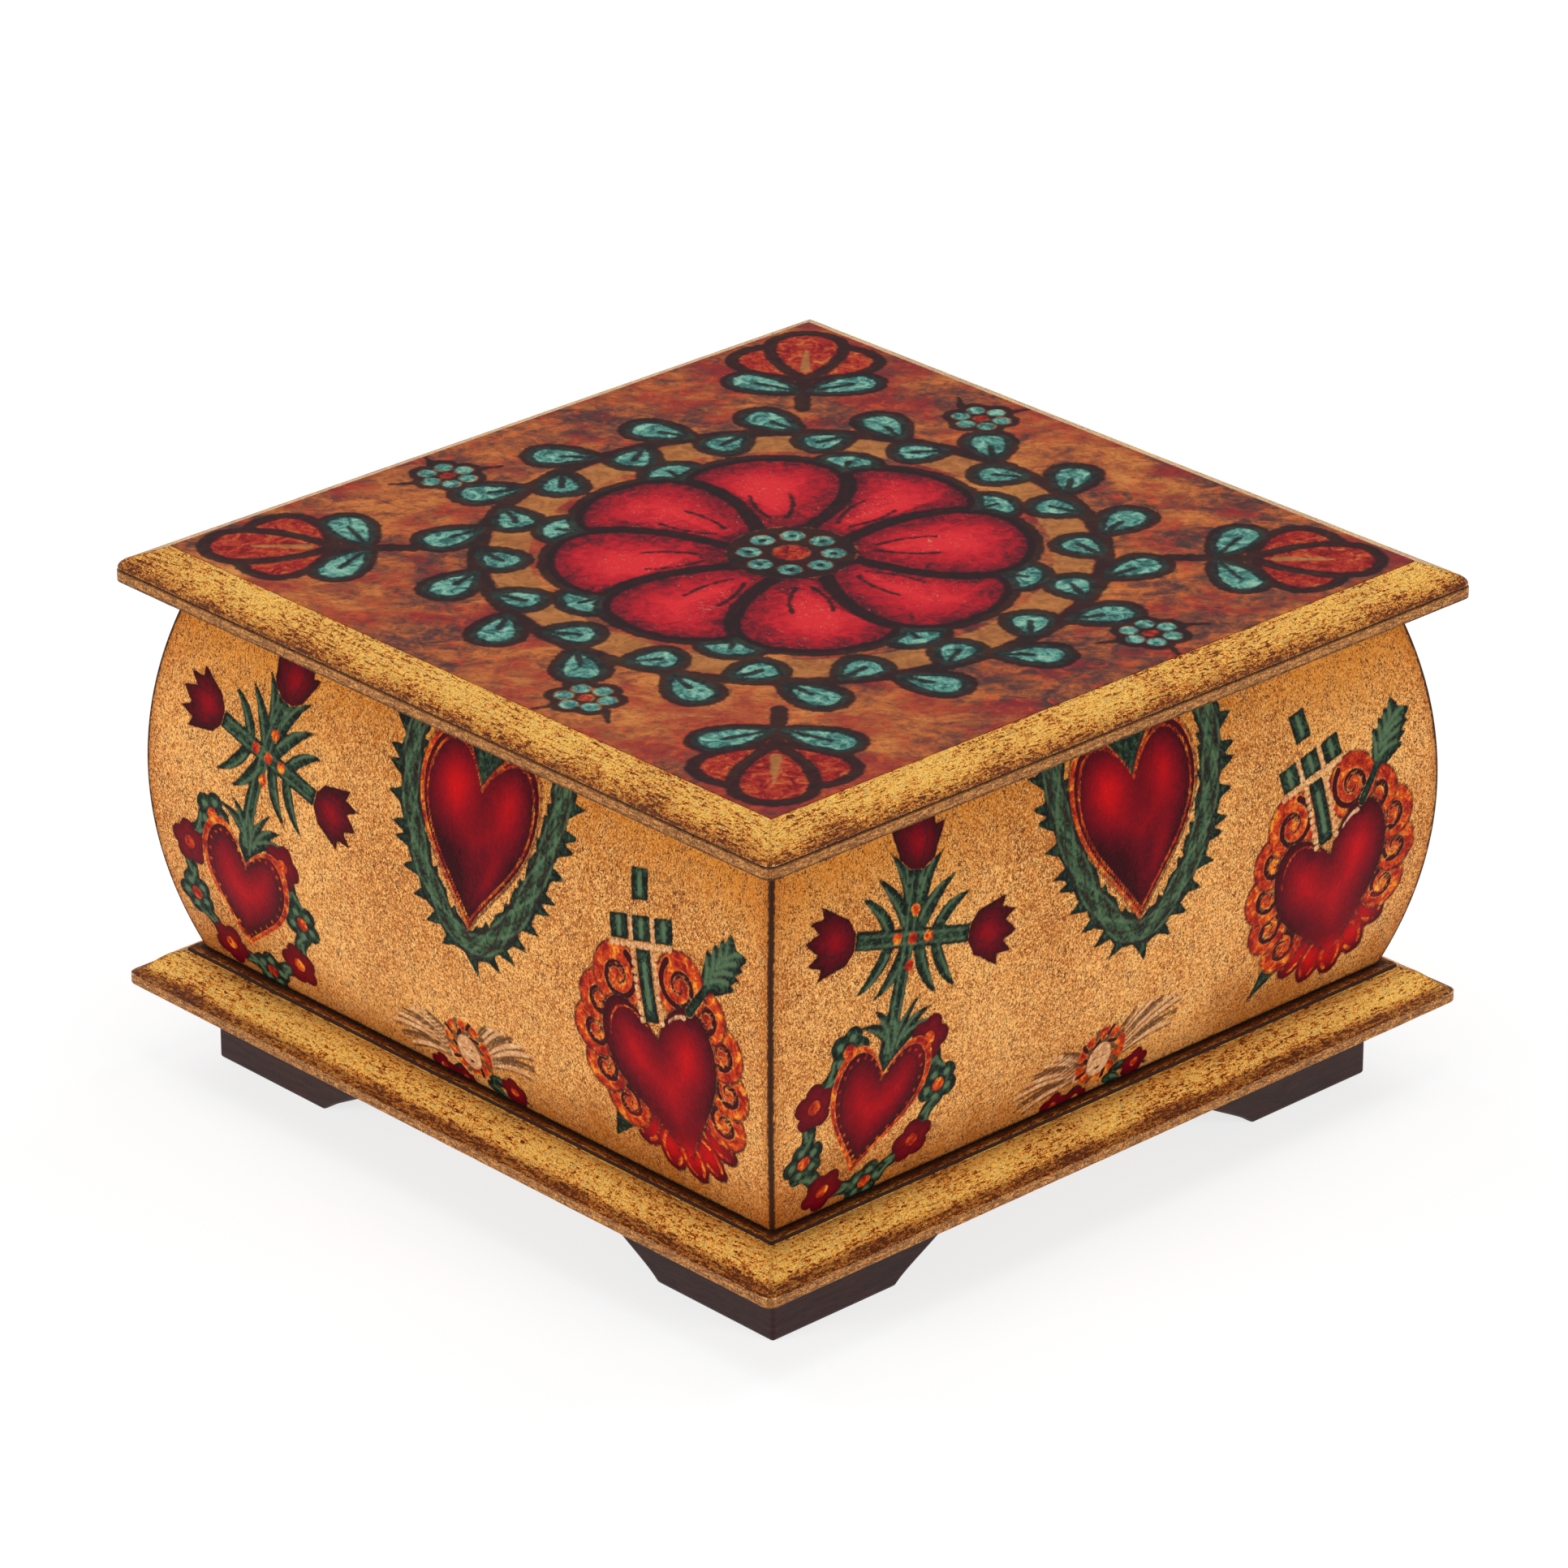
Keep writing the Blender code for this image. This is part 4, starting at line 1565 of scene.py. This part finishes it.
def chain_mesh(profile: Sequence[EdgePoint], outer_half: float, sizes: BoxSizes) -> bpy.types.Mesh:
    """Makes the chain of points that the moulding tree reads.

    Args:
        profile: the points from the underside's middle, outwards, up and in again.
        outer_half: the board's half width.
        sizes: the box's sizes.

    Returns:
        The chain.
    """
    mesh = bpy.data.meshes.new("profile")
    points = []
    for spot in profile:
        rounding = max(sizes.mitre_round, sizes.corner_round - (outer_half - spot.half))
        points.append((spot.half, min(rounding, spot.half), spot.z))
    mesh.from_pydata(points, [(i, i + 1) for i in range(len(points) - 1)], [])
    places = np.array(points)[:, (0, 2)]
    across = np.concatenate(((0,), np.cumsum(np.hypot(*np.diff(places, axis=0).T))))
    # The wear vector: glazing, dullness and rubbing; glazing and dullness also carry painted shade.
    wear = np.array([(spot.glaze_and_painted_shade, spot.dull_and_painted_shade, spot.rubbed) for spot in profile], np.float32)
    mesh.attributes.new("wear", "FLOAT_VECTOR", "POINT").data.foreach_set("vector", wear.ravel())
    keep_values(mesh, "across", across)
    keep_values(mesh, "bare", [spot.bare for spot in profile])
    return mesh


class Piece:
    """A finished piece of the box, ready for the frame."""

    def __init__(
        self, name: str, mesh: bpy.types.Mesh, slot: str, nodes: Sequence[str], sharp: float
    ) -> None:
        """Shows the mesh as an object that rides on the box's body.

        Args:
            name: the piece's name.
            mesh: its mesh, in place.
            slot: the material slot that it stands for; not used.
            nodes: the nodes that it replaces.
            sharp: the angle in degrees past which an edge stays crisp.
        """
        mesh.name = name
        mesh.shade_smooth()
        mesh.set_sharp_from_angle(angle=math.radians(sharp))
        self.turn_outwards(mesh)
        self.shown = bpy.data.objects.new(name, mesh)
        bpy.context.scene.collection.objects.link(self.shown)
        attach(self.shown, BODY)
        if nodes:
            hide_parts(*nodes)
        mesh.calc_loop_triangles()
        LOG.info("%s: %d triangles", name, len(mesh.loop_triangles))

    @staticmethod
    def turn_outwards(mesh: bpy.types.Mesh) -> None:
        """Flips every face of a closed mesh whose faces point inwards."""
        mesh.calc_loop_triangles()
        corners = np.empty(len(mesh.loop_triangles) * 3, np.int64)
        mesh.loop_triangles.foreach_get("vertices", corners)
        places = np.empty(len(mesh.vertices) * 3)
        mesh.vertices.foreach_get("co", places)
        a, b, c = places.reshape(-1, 3)[corners.reshape(-1, 3)].transpose(1, 0, 2)
        if np.einsum("ij,ij->i", a, np.cross(b, c)).sum() < 0:
            mesh.flip_normals()


@dataclass
class Finishes:
    """Every finish of the box, made once."""

    gold: bpy.types.Material
    wall: bpy.types.Material
    lid: bpy.types.Material
    foot: bpy.types.Material
    inside: bpy.types.Material

    @classmethod
    def made(cls) -> "Finishes":
        """Writes all the finishes.

        Returns:
            The finishes.
        """
        foot = StainFinish(
            name="dark_walnut_stain",
            dark=linear(27, 12, 11),
            light=linear(60, 31, 26),
            pore=linear(13, 6, 6),
            roughness=0.50,
            gloss=0.22,
        )
        inside = StainFinish(
            name="plain_inside_stain",
            dark=linear(70, 42, 28),
            light=linear(112, 70, 44),
            pore=linear(48, 28, 20),
            roughness=0.62,
            gloss=0.25,
        )
        return cls(
            GoldFinish().material(),
            WallFinish().material(),
            LidFinish().material(),
            foot.material(),
            inside.material(),
        )


@dataclass(frozen=True)
class Dents:
    """The dents of a hand-sanded board: how deep and wide they are, in metres, and which pattern."""

    depth: float
    width: float
    seed: float


@dataclass
class MouldedBoard:
    """A square board whose moulded edge is drawn out from a profile."""

    sizes: BoxSizes
    columns: int = 150
    crowding: float = 0.7

    def profile(self) -> list[EdgePoint]:
        """The edge's points, which each board sets out."""
        raise NotImplementedError

    def board_mesh(
        self, half: float, dents: Dents, tree: bpy.types.NodeTree, finishes: Finishes
    ) -> bpy.types.Mesh:
        """Draws the profile out round the board.

        Args:
            half: the board's half width.
            dents: its dents.
            tree: the moulding tree.
            finishes: the box's finishes.

        Returns:
            The board's mesh.
        """
        inputs = {
            "Columns": self.columns,
            "Crowding": self.crowding,
            "Dents": dents.depth,
            "Dent size": dents.width,
            "Seed": dents.seed,
            "Coat": finishes.gold,
            "Bare": finishes.inside,
        }
        return run_tree(chain_mesh(self.profile(), half, self.sizes), tree, inputs)


@dataclass
class BaseBoard(MouldedBoard):
    """The square board under the walls, with an ogee edge."""

    strip: float = 2.0 * MM
    quirk_drop: float = 0.7 * MM
    fillet: float = 1.7 * MM

    def profile(self) -> list[EdgePoint]:
        """The edge, from the underside's middle to the floor's middle.

        Returns:
            The profile's points.
        """
        s = self.sizes
        under = s.foot_height
        strip_half = s.wall_half + self.strip
        band_top = (s.base_half, under + self.fillet)
        ogee_top = (strip_half + self.quirk_drop / 4, s.base_top - self.quirk_drop)
        width = band_top[0] - ogee_top[0]
        drop = ogee_top[1] - band_top[1]
        ogee = bezier(
            band_top,
            (band_top[0] - 0.40 * width, band_top[1] + 0.10 * drop),
            (ogee_top[0] + 0.50 * width, ogee_top[1] - 0.05 * drop),
            ogee_top,
            20,
        )
        points = [EdgePoint(0.0, under, bare=1.0)]
        points.append(EdgePoint(s.base_half - 6.0 * s.edge_wear, under, bare=1.0))
        points += lower_arris(s.base_half, under, s.edge_wear, 0.35)
        for part in (0.35, 0.6, 0.85):
            points.append(EdgePoint(s.base_half, under + self.fillet * part, 0.12, 1.0))
        # Painted shade: glazing and dullness darken the cove near the fillet; the fillet's top arris is
        # rubbed.
        for i, (half, z) in enumerate(ogee):
            part = i / (len(ogee) - 1)
            rubbed = 0.75 if i == 0 else 0.0
            glaze_and_painted_shade = 0.42 * max(0.0, 1 - abs(part - 0.20) / 0.20)
            points.append(EdgePoint(half, z, glaze_and_painted_shade, max(0.0, min(0.55, 1.16 - 2.9 * part)), rubbed))
        # The quirk is glazed dark in its crevice; the strip beside the wall darkens towards it, painted
        # shade under the wall's bulge.
        return points + [
            EdgePoint(ogee_top[0] - 0.04 * MM, ogee_top[1] + 0.10 * MM, 0.95, 0.3),
            EdgePoint(strip_half + 0.04 * MM, s.base_top - 0.12 * MM, 0.85, 0.3),
            EdgePoint(strip_half - 0.10 * MM, s.base_top, 0.30, 0.5, 0.2),
            EdgePoint(strip_half - 0.80 * MM, s.base_top, 0.45, 0.6),
            EdgePoint(s.wall_half + 0.20 * MM, s.base_top, 0.75, 0.8),
            EdgePoint(s.wall_half - 2.00 * MM, s.base_top, 1.0, 1.0),
            EdgePoint(s.inner_half, s.base_top, bare=1.0),
            EdgePoint(0.0, s.base_top, bare=1.0),
        ]

    def build(self, tree: bpy.types.NodeTree, finishes: Finishes) -> None:
        """Makes the board and replaces its plain solid."""
        dents = Dents(0.11 * MM, 3.2 * MM, 4.0)
        mesh = self.board_mesh(self.sizes.base_half, dents, tree, finishes)
        Piece("moulded_base_board", mesh, "antique_gold", ("base_board",), 24.0)


@dataclass
class Lid(MouldedBoard):
    """The lid: a moulded board with a step beneath, and a printed paper glued on top."""

    fillet: float = 1.8 * MM
    groove_height: float = 0.5 * MM
    groove_depth: float = 0.4 * MM
    step_depth: float = 3.0 * MM
    step_clearance: float = 0.8 * MM
    print_cells: int = 306

    def profile(self) -> list[EdgePoint]:
        """The edge, from the underside's middle to the middle of the top.

        Returns:
            The profile's points.
        """
        s = self.sizes
        under = s.lid_under
        step_half = s.inner_half - self.step_clearance
        band_top = under + self.fillet
        foot = (s.lid_half - self.groove_depth / 4, band_top + self.groove_height)
        top = (s.print_half + s.print_lip, s.lid_top - s.print_lip)
        width = foot[0] - top[0]
        drop = top[1] - foot[1]
        bead = bezier(
            foot,
            (foot[0] - 0.02 * width, foot[1] + 0.34 * drop),
            (top[0] + 0.46 * width, top[1] - 0.37 * drop),
            top,
            22,
        )
        step_under = under - self.step_depth
        points = [
            EdgePoint(0.0, step_under, bare=1.0),
            EdgePoint(step_half - s.edge_wear, step_under, bare=1.0),
            EdgePoint(step_half, step_under + s.edge_wear, bare=1.0),
            EdgePoint(step_half, under, bare=1.0),
            EdgePoint(s.wall_half, under, bare=1.0),
            EdgePoint(s.wall_half + 1.0 * MM, under, 0.6, 1.0),
        ]
        points += lower_arris(s.lid_half, under, s.edge_wear, 0.62)
        for part in (0.4, 0.62, 0.86):
            points.append(EdgePoint(s.lid_half, under + self.fillet * part, 0.22, 1.0))
        points.append(EdgePoint(s.lid_half, band_top, 0.45, 0.9))
        for deep, high, glaze_and_painted_shade in ((0.8, 0.36, 0.60), (1.0, 0.50, 0.66), (0.7, 0.76, 0.50)):
            z = band_top + high * self.groove_height
            points.append(EdgePoint(s.lid_half - deep * self.groove_depth, z, glaze_and_painted_shade, 0.8))
        # Painted shade: dullness darkens the bead's steeper lower half; its foot is rubbed, and it is
        # glazed darker next to the print.
        for i, (half, z) in enumerate(bead):
            part = i / (len(bead) - 1)
            rubbed = max(0.0, 0.62 - 5.0 * part)
            near_print = max(0.0, (part - 0.90) / 0.10)
            points.append(EdgePoint(half, z, 0.36 * near_print, max(0.0, 0.68 - 1.05 * part), rubbed))
        bed = top[1] - 0.02 * MM
        return points + [
            EdgePoint(s.print_half, bed, 0.3, 0.4),
            EdgePoint(s.print_half - 2.0 * MM, bed, bare=1.0),
            EdgePoint(0.0, bed, bare=1.0),
        ]

    def print_mesh(self, finish: bpy.types.Material) -> bpy.types.Mesh:
        """Makes the printed paper: a thin closed sheet whose upper side keeps the picture.

        Args:
            finish: its material.

        Returns:
            The mesh.
        """
        s = self.sizes
        count = self.print_cells + 1
        line = np.linspace(-s.print_half, s.print_half, count)
        x, y = (part.ravel() for part in np.meshgrid(line, line, indexing="ij"))
        top = np.column_stack((x, y, np.full(len(x), s.lid_top)))
        grid = np.arange(count * count).reshape(count, count)
        a, b, c, d = grid[:-1, :-1], grid[1:, :-1], grid[1:, 1:], grid[:-1, 1:]
        faces = np.stack((a, b, c, d), axis=-1).reshape(-1, 4).tolist()
        rim = np.concatenate((grid[:-1, 0], grid[-1, :-1], grid[:0:-1, -1], grid[0, :0:-1]))
        top[rim, 2] -= 0.03 * MM
        low = top[rim].copy()
        low[:, 2] = s.lid_top - s.print_lip
        middle = np.array(((0.0, 0.0, s.lid_top - s.print_lip),))
        first, last = len(top), len(top) + len(rim)
        for i in range(len(rim)):
            j = (i + 1) % len(rim)
            faces.append((int(rim[j]), int(rim[i]), first + i, first + j))
            faces.append((first + j, first + i, last))
        mesh = bpy.data.meshes.new("lid_print")
        mesh.from_pydata(np.vstack((top, low, middle)).tolist(), [], faces)
        for name, values, blank in LidPrint(x / MM, y / MM).layers():
            keep_values(mesh, name, np.append(values, np.full(len(rim) + 1, blank)))
        mesh.materials.append(finish)
        return mesh

    def build(self, tree: bpy.types.NodeTree, finishes: Finishes) -> None:
        """Makes the board and the print, and replaces the plain solid."""
        dents = Dents(0.10 * MM, 2.6 * MM, 9.0)
        mesh = self.board_mesh(self.sizes.lid_half, dents, tree, finishes)
        Piece("moulded_lid_board", mesh, "printed_lid", ("lid",), 24.0)
        Piece("lid_print", self.print_mesh(finishes.lid), "printed_lid", (), 40.0)


@dataclass
class Walls:
    """The four bowed walls, mitred at the corners, each with the same print."""

    sizes: BoxSizes
    cell: float = 0.42 * MM
    arris: float = 0.4 * MM
    play: float = 0.01 * MM
    mitre_columns: tuple[float, ...] = (0.0, 0.05, 0.11, 0.18, 0.26, 0.36)

    def front_mesh(self) -> bpy.types.Mesh:
        """Makes the front wall with its drawing, finer near the mitres, where it has `mitre_columns`.

        Returns:
            The mesh.
        """
        s = self.sizes
        radius = ((s.wall_height / 2) ** 2 + s.wall_bulge**2) / (2 * s.wall_bulge)
        half_turn = math.asin((s.wall_height / 2 - s.joint_gap) / radius)
        rows = int(2 * half_turn * radius / self.cell) + 1
        turns = np.linspace(-half_turn, half_turn, rows)
        half = s.wall_half + s.wall_bulge - radius * (1 - np.cos(turns))
        widest = half.max()
        ends = np.array(self.mitre_columns) * MM / widest
        last = ends[-1]
        between = np.linspace(last - 1, 1 - last, int(2 * widest / self.cell))
        share = np.concatenate((ends[:-1] - 1, between, 1 - ends[-2::-1]))
        reach = half - self.arris * (1 - COS_45) - self.play
        x = share[:, None] * reach[None, :]
        into = np.maximum(abs(x) - (half - self.arris), 0.0)
        inset = self.arris - np.sqrt(np.maximum(self.arris**2 - into**2, 0.0))
        y = inset - half[None, :]
        level = s.base_top + s.wall_height / 2 + radius * np.sin(turns)
        outer = np.stack((x, y, np.broadcast_to(level, x.shape)), axis=-1)
        inside = []
        for height in (level[-1], level[0]):
            flat = np.tile((0.0, -s.inner_half, height), (len(share), 1))
            flat[:, 0] = share * (s.inner_half - self.play)
            inside.append(flat)
        ring = np.concatenate((outer, np.stack(inside, axis=1)), axis=1)
        count, around = ring.shape[:2]
        grid = np.arange(count * around).reshape(count, around)
        after = np.roll(grid, -1, axis=1)
        faces = np.stack((grid[:-1], grid[1:], after[1:], after[:-1]), axis=-1).reshape(-1, 4).tolist()
        faces.append(grid[0].tolist())
        faces.append(grid[-1, ::-1].tolist())
        mesh = bpy.data.meshes.new("front_wall")
        mesh.from_pydata(ring.reshape(-1, 3).tolist(), [], faces)
        self.keep(mesh, x / MM, turns * radius / MM, reach / MM)
        return mesh

    def keep(self, mesh: bpy.types.Mesh, x: np.ndarray, arc: np.ndarray, reach: np.ndarray) -> None:
        """Stores the drawing on the wall's mesh, and how near each point is to a mitre.

        Args:
            mesh: the wall's mesh, whose columns end with two points of the inside.
            x: the outer points' places across the wall, in millimetres.
            arc: the rows' places up the bowed face, in millimetres.
            reach: the rows' greatest x, in millimetres.
        """
        layers = WallPrint(x.ravel(), np.broadcast_to(arc, x.shape).ravel()).layers()
        layers.append(("brink", reach[None, :] - abs(x), 20.0))
        layers.append(("bare", np.zeros(x.shape), 1.0))
        for name, values, blank in layers:
            outer = values.reshape(x.shape)
            keep_values(mesh, name, np.pad(outer, ((0, 0), (0, 2)), constant_values=blank))

    def build(self, tree: bpy.types.NodeTree, finishes: Finishes) -> None:
        """Makes the four walls and replaces their plain solids."""
        front = self.front_mesh()
        for quarter, side in enumerate(("front", "right", "back", "left")):
            inputs = {"Turn": quarter * math.pi / 2, "Coat": finishes.wall, "Bare": finishes.inside}
            mesh = run_tree(front, tree, inputs)
            Piece(f"painted_wall_{side}", mesh, "decoupage_wall", (f"wall_{side}",), 30.0)


@dataclass
class BracketFeet:
    """Four L-shaped bracket feet with worn edges."""

    sizes: BoxSizes
    setback: float = 10.4 * MM
    flat: float = 26.0 * MM
    leg: float = 45.0 * MM
    thickness: float = 12.0 * MM
    wear: float = 0.6 * MM
    steps: int = 20

    def foot_mesh(self) -> bpy.types.Mesh:
        """Makes the foot under the front left corner.

        Returns:
            The mesh.
        """
        top = self.sizes.foot_height - self.sizes.joint_gap
        corner = self.sizes.base_half - self.setback
        run = self.leg - self.flat
        handles = (self.flat + 0.16 * run, 0.23 * top), (self.flat + 0.68 * run, 0.45 * top)
        outline = bezier((self.flat, 0.0), *handles, (self.leg, top), self.steps)
        bm = bmesh.new()

        def loop(place: Callable[[float, float], tuple[float, float, float]]) -> list[bmesh.types.BMVert]:
            """The outline's points at one face of a leg."""
            return [bm.verts.new(Vector(place(s, z)) - Vector((corner, corner, 0.0))) for s, z in outline]

        deep = self.thickness
        outer_x, inner_x = loop(lambda s, z: (s, 0.0, z)), loop(lambda s, z: (s, deep, z))
        outer_y, inner_y = loop(lambda s, z: (0.0, s, z)), loop(lambda s, z: (deep, s, z))
        outer_corner = [bm.verts.new((-corner, -corner, z)) for z in (0.0, top)]
        inner_corner = [bm.verts.new((deep - corner, deep - corner, z)) for z in (0.0, top)]
        for side, ends in (
            (outer_x, outer_corner),
            (inner_x, inner_corner),
            (outer_y, outer_corner),
            (inner_y, inner_corner),
        ):
            bm.faces.new((ends[0], *side, ends[1]))
        for outer, inner in ((outer_x, inner_x), (outer_y, inner_y)):
            for i in range(self.steps):
                bm.faces.new((outer[i], outer[i + 1], inner[i + 1], inner[i]))
            for level, point in ((0, 0), (1, self.steps)):
                bm.faces.new((outer_corner[level], outer[point], inner[point], inner_corner[level]))
        bmesh.ops.recalc_face_normals(bm, faces=bm.faces)
        crisp = [edge for edge in bm.edges if edge.calc_face_angle(0.0) > math.radians(40)]
        bmesh.ops.bevel(bm, geom=crisp, offset=self.wear, segments=3, profile=0.5, affect="EDGES")
        mesh = bpy.data.meshes.new("foot")
        bm.to_mesh(mesh)
        bm.free()
        return mesh

    def build(self, tree: bpy.types.NodeTree, finishes: Finishes) -> None:
        """Makes the feet and replaces their plain solids."""
        inputs = {"Coat": finishes.foot, "Bare": finishes.foot}
        mesh = run_tree(self.foot_mesh(), tree, inputs)
        corners = ("front_left", "front_right", "back_right", "back_left")
        Piece("bracket_feet", mesh, "dark_stain", [f"foot_{corner}" for corner in corners], 12.0)


@dataclass(frozen=True)
class Softbox:
    """A square studio light that faces a point near the box."""

    name: str
    place: tuple[float, float, float]
    power: float
    size: float

    def build(self) -> None:
        """Hangs the light."""
        lamp = bpy.data.lights.new(self.name, "AREA")
        lamp.energy = self.power
        lamp.size = self.size
        shown = bpy.data.objects.new(self.name, lamp)
        shown.location = self.place
        aim = Vector((0.0, 0.0, 0.05)) - shown.location
        shown.rotation_euler = aim.to_track_quat("-Z", "Y").to_euler()
        bpy.context.scene.collection.objects.link(shown)


@dataclass
class Studio:
    """A plain pale floor, soft light and the camera of the photograph's view."""

    floor_half: float = 6.0
    focal_length: float = 184.76
    sensor: float = 36.0
    eye: tuple[float, float, float] = (-0.79839, -0.84710, 0.59387)
    right: tuple[float, float, float] = (0.728477, -0.685070, 0.000266)
    up: tuple[float, float, float] = (0.289694, 0.308402, 0.906072)
    ahead: tuple[float, float, float] = (0.620804, 0.659976, -0.423124)
    air: float = 0.25
    floor_grey: float = 0.30
    floor_glow: float = 0.76

    def build(self) -> None:
        """Sets up the floor, the light and the camera."""
        self.build_floor()
        self.build_light()
        self.build_camera()
        bpy.context.scene.view_settings.view_transform = "Standard"

    def build_floor(self) -> None:
        """Lays a wide pale floor."""
        h = self.floor_half
        mesh = bpy.data.meshes.new("floor")
        mesh.from_pydata([(-h, -h, 0), (h, -h, 0), (h, h, 0), (-h, h, 0)], [], [(0, 1, 2, 3)])
        finish = bpy.data.materials.new("pale_floor")
        finish.use_nodes = True
        inputs = finish.node_tree.nodes["Principled BSDF"].inputs
        inputs["Base Color"].default_value = (self.floor_grey,) * 3 + (1.0,)
        inputs["Roughness"].default_value = 0.9
        inputs["Specular IOR Level"].default_value = 0.0
        inputs["Emission Color"].default_value = (1.0, 1.0, 1.0, 1.0)
        inputs["Emission Strength"].default_value = self.floor_glow
        mesh.materials.append(finish)
        floor = bpy.data.objects.new("floor", mesh)
        bpy.context.scene.collection.objects.link(floor)

    def build_light(self) -> None:
        """Fills the air with white light and hangs the softboxes."""
        world = bpy.data.worlds.new("studio_air")
        world.use_nodes = True
        air = world.node_tree.nodes["Background"]
        air.inputs["Color"].default_value = (1.0, 1.0, 1.0, 1.0)
        air.inputs["Strength"].default_value = self.air
        bpy.context.scene.world = world
        for softbox in (
            Softbox("overhead_softbox", (-0.15, -0.15, 1.25), 2.2, 0.5),
            Softbox("back_left_softbox", (-0.05, 0.85, 0.95), 4.0, 0.7),
            Softbox("back_right_softbox", (0.80, -0.05, 1.00), 4.6, 0.7),
            Softbox("left_softbox", (-1.35, 0.25, 0.50), 9.6, 0.6),
            Softbox("right_softbox", (0.25, -1.35, 0.50), 8.2, 0.6),
        ):
            softbox.build()

    def build_camera(self) -> None:
        """Places the camera where the photograph was taken from."""
        lens = bpy.data.cameras.new("camera")
        lens.lens = self.focal_length
        lens.sensor_width = self.sensor
        lens.clip_start = 0.05
        lens.clip_end = 50.0
        camera = bpy.data.objects.new("camera", lens)
        back = tuple(-part for part in self.ahead)
        turn = Matrix((self.right, self.up, back)).transposed().to_4x4()
        camera.matrix_world = Matrix.Translation(self.eye) @ turn
        bpy.context.scene.collection.objects.link(camera)
        bpy.context.scene.camera = camera


def main() -> None:
    """Builds the studio, then the box from the table up."""
    logging.basicConfig(level=logging.INFO, format="%(name)s: %(message)s")
    sizes = BoxSizes()
    Studio().build()
    finishes = Finishes.made()
    mouldings = moulding_tree()
    BracketFeet(sizes).build(round_the_box_tree(), finishes)
    BaseBoard(sizes).build(mouldings, finishes)
    Walls(sizes).build(one_side_tree(), finishes)
    Lid(sizes).build(mouldings, finishes)


if __name__ == "__main__":
    main()
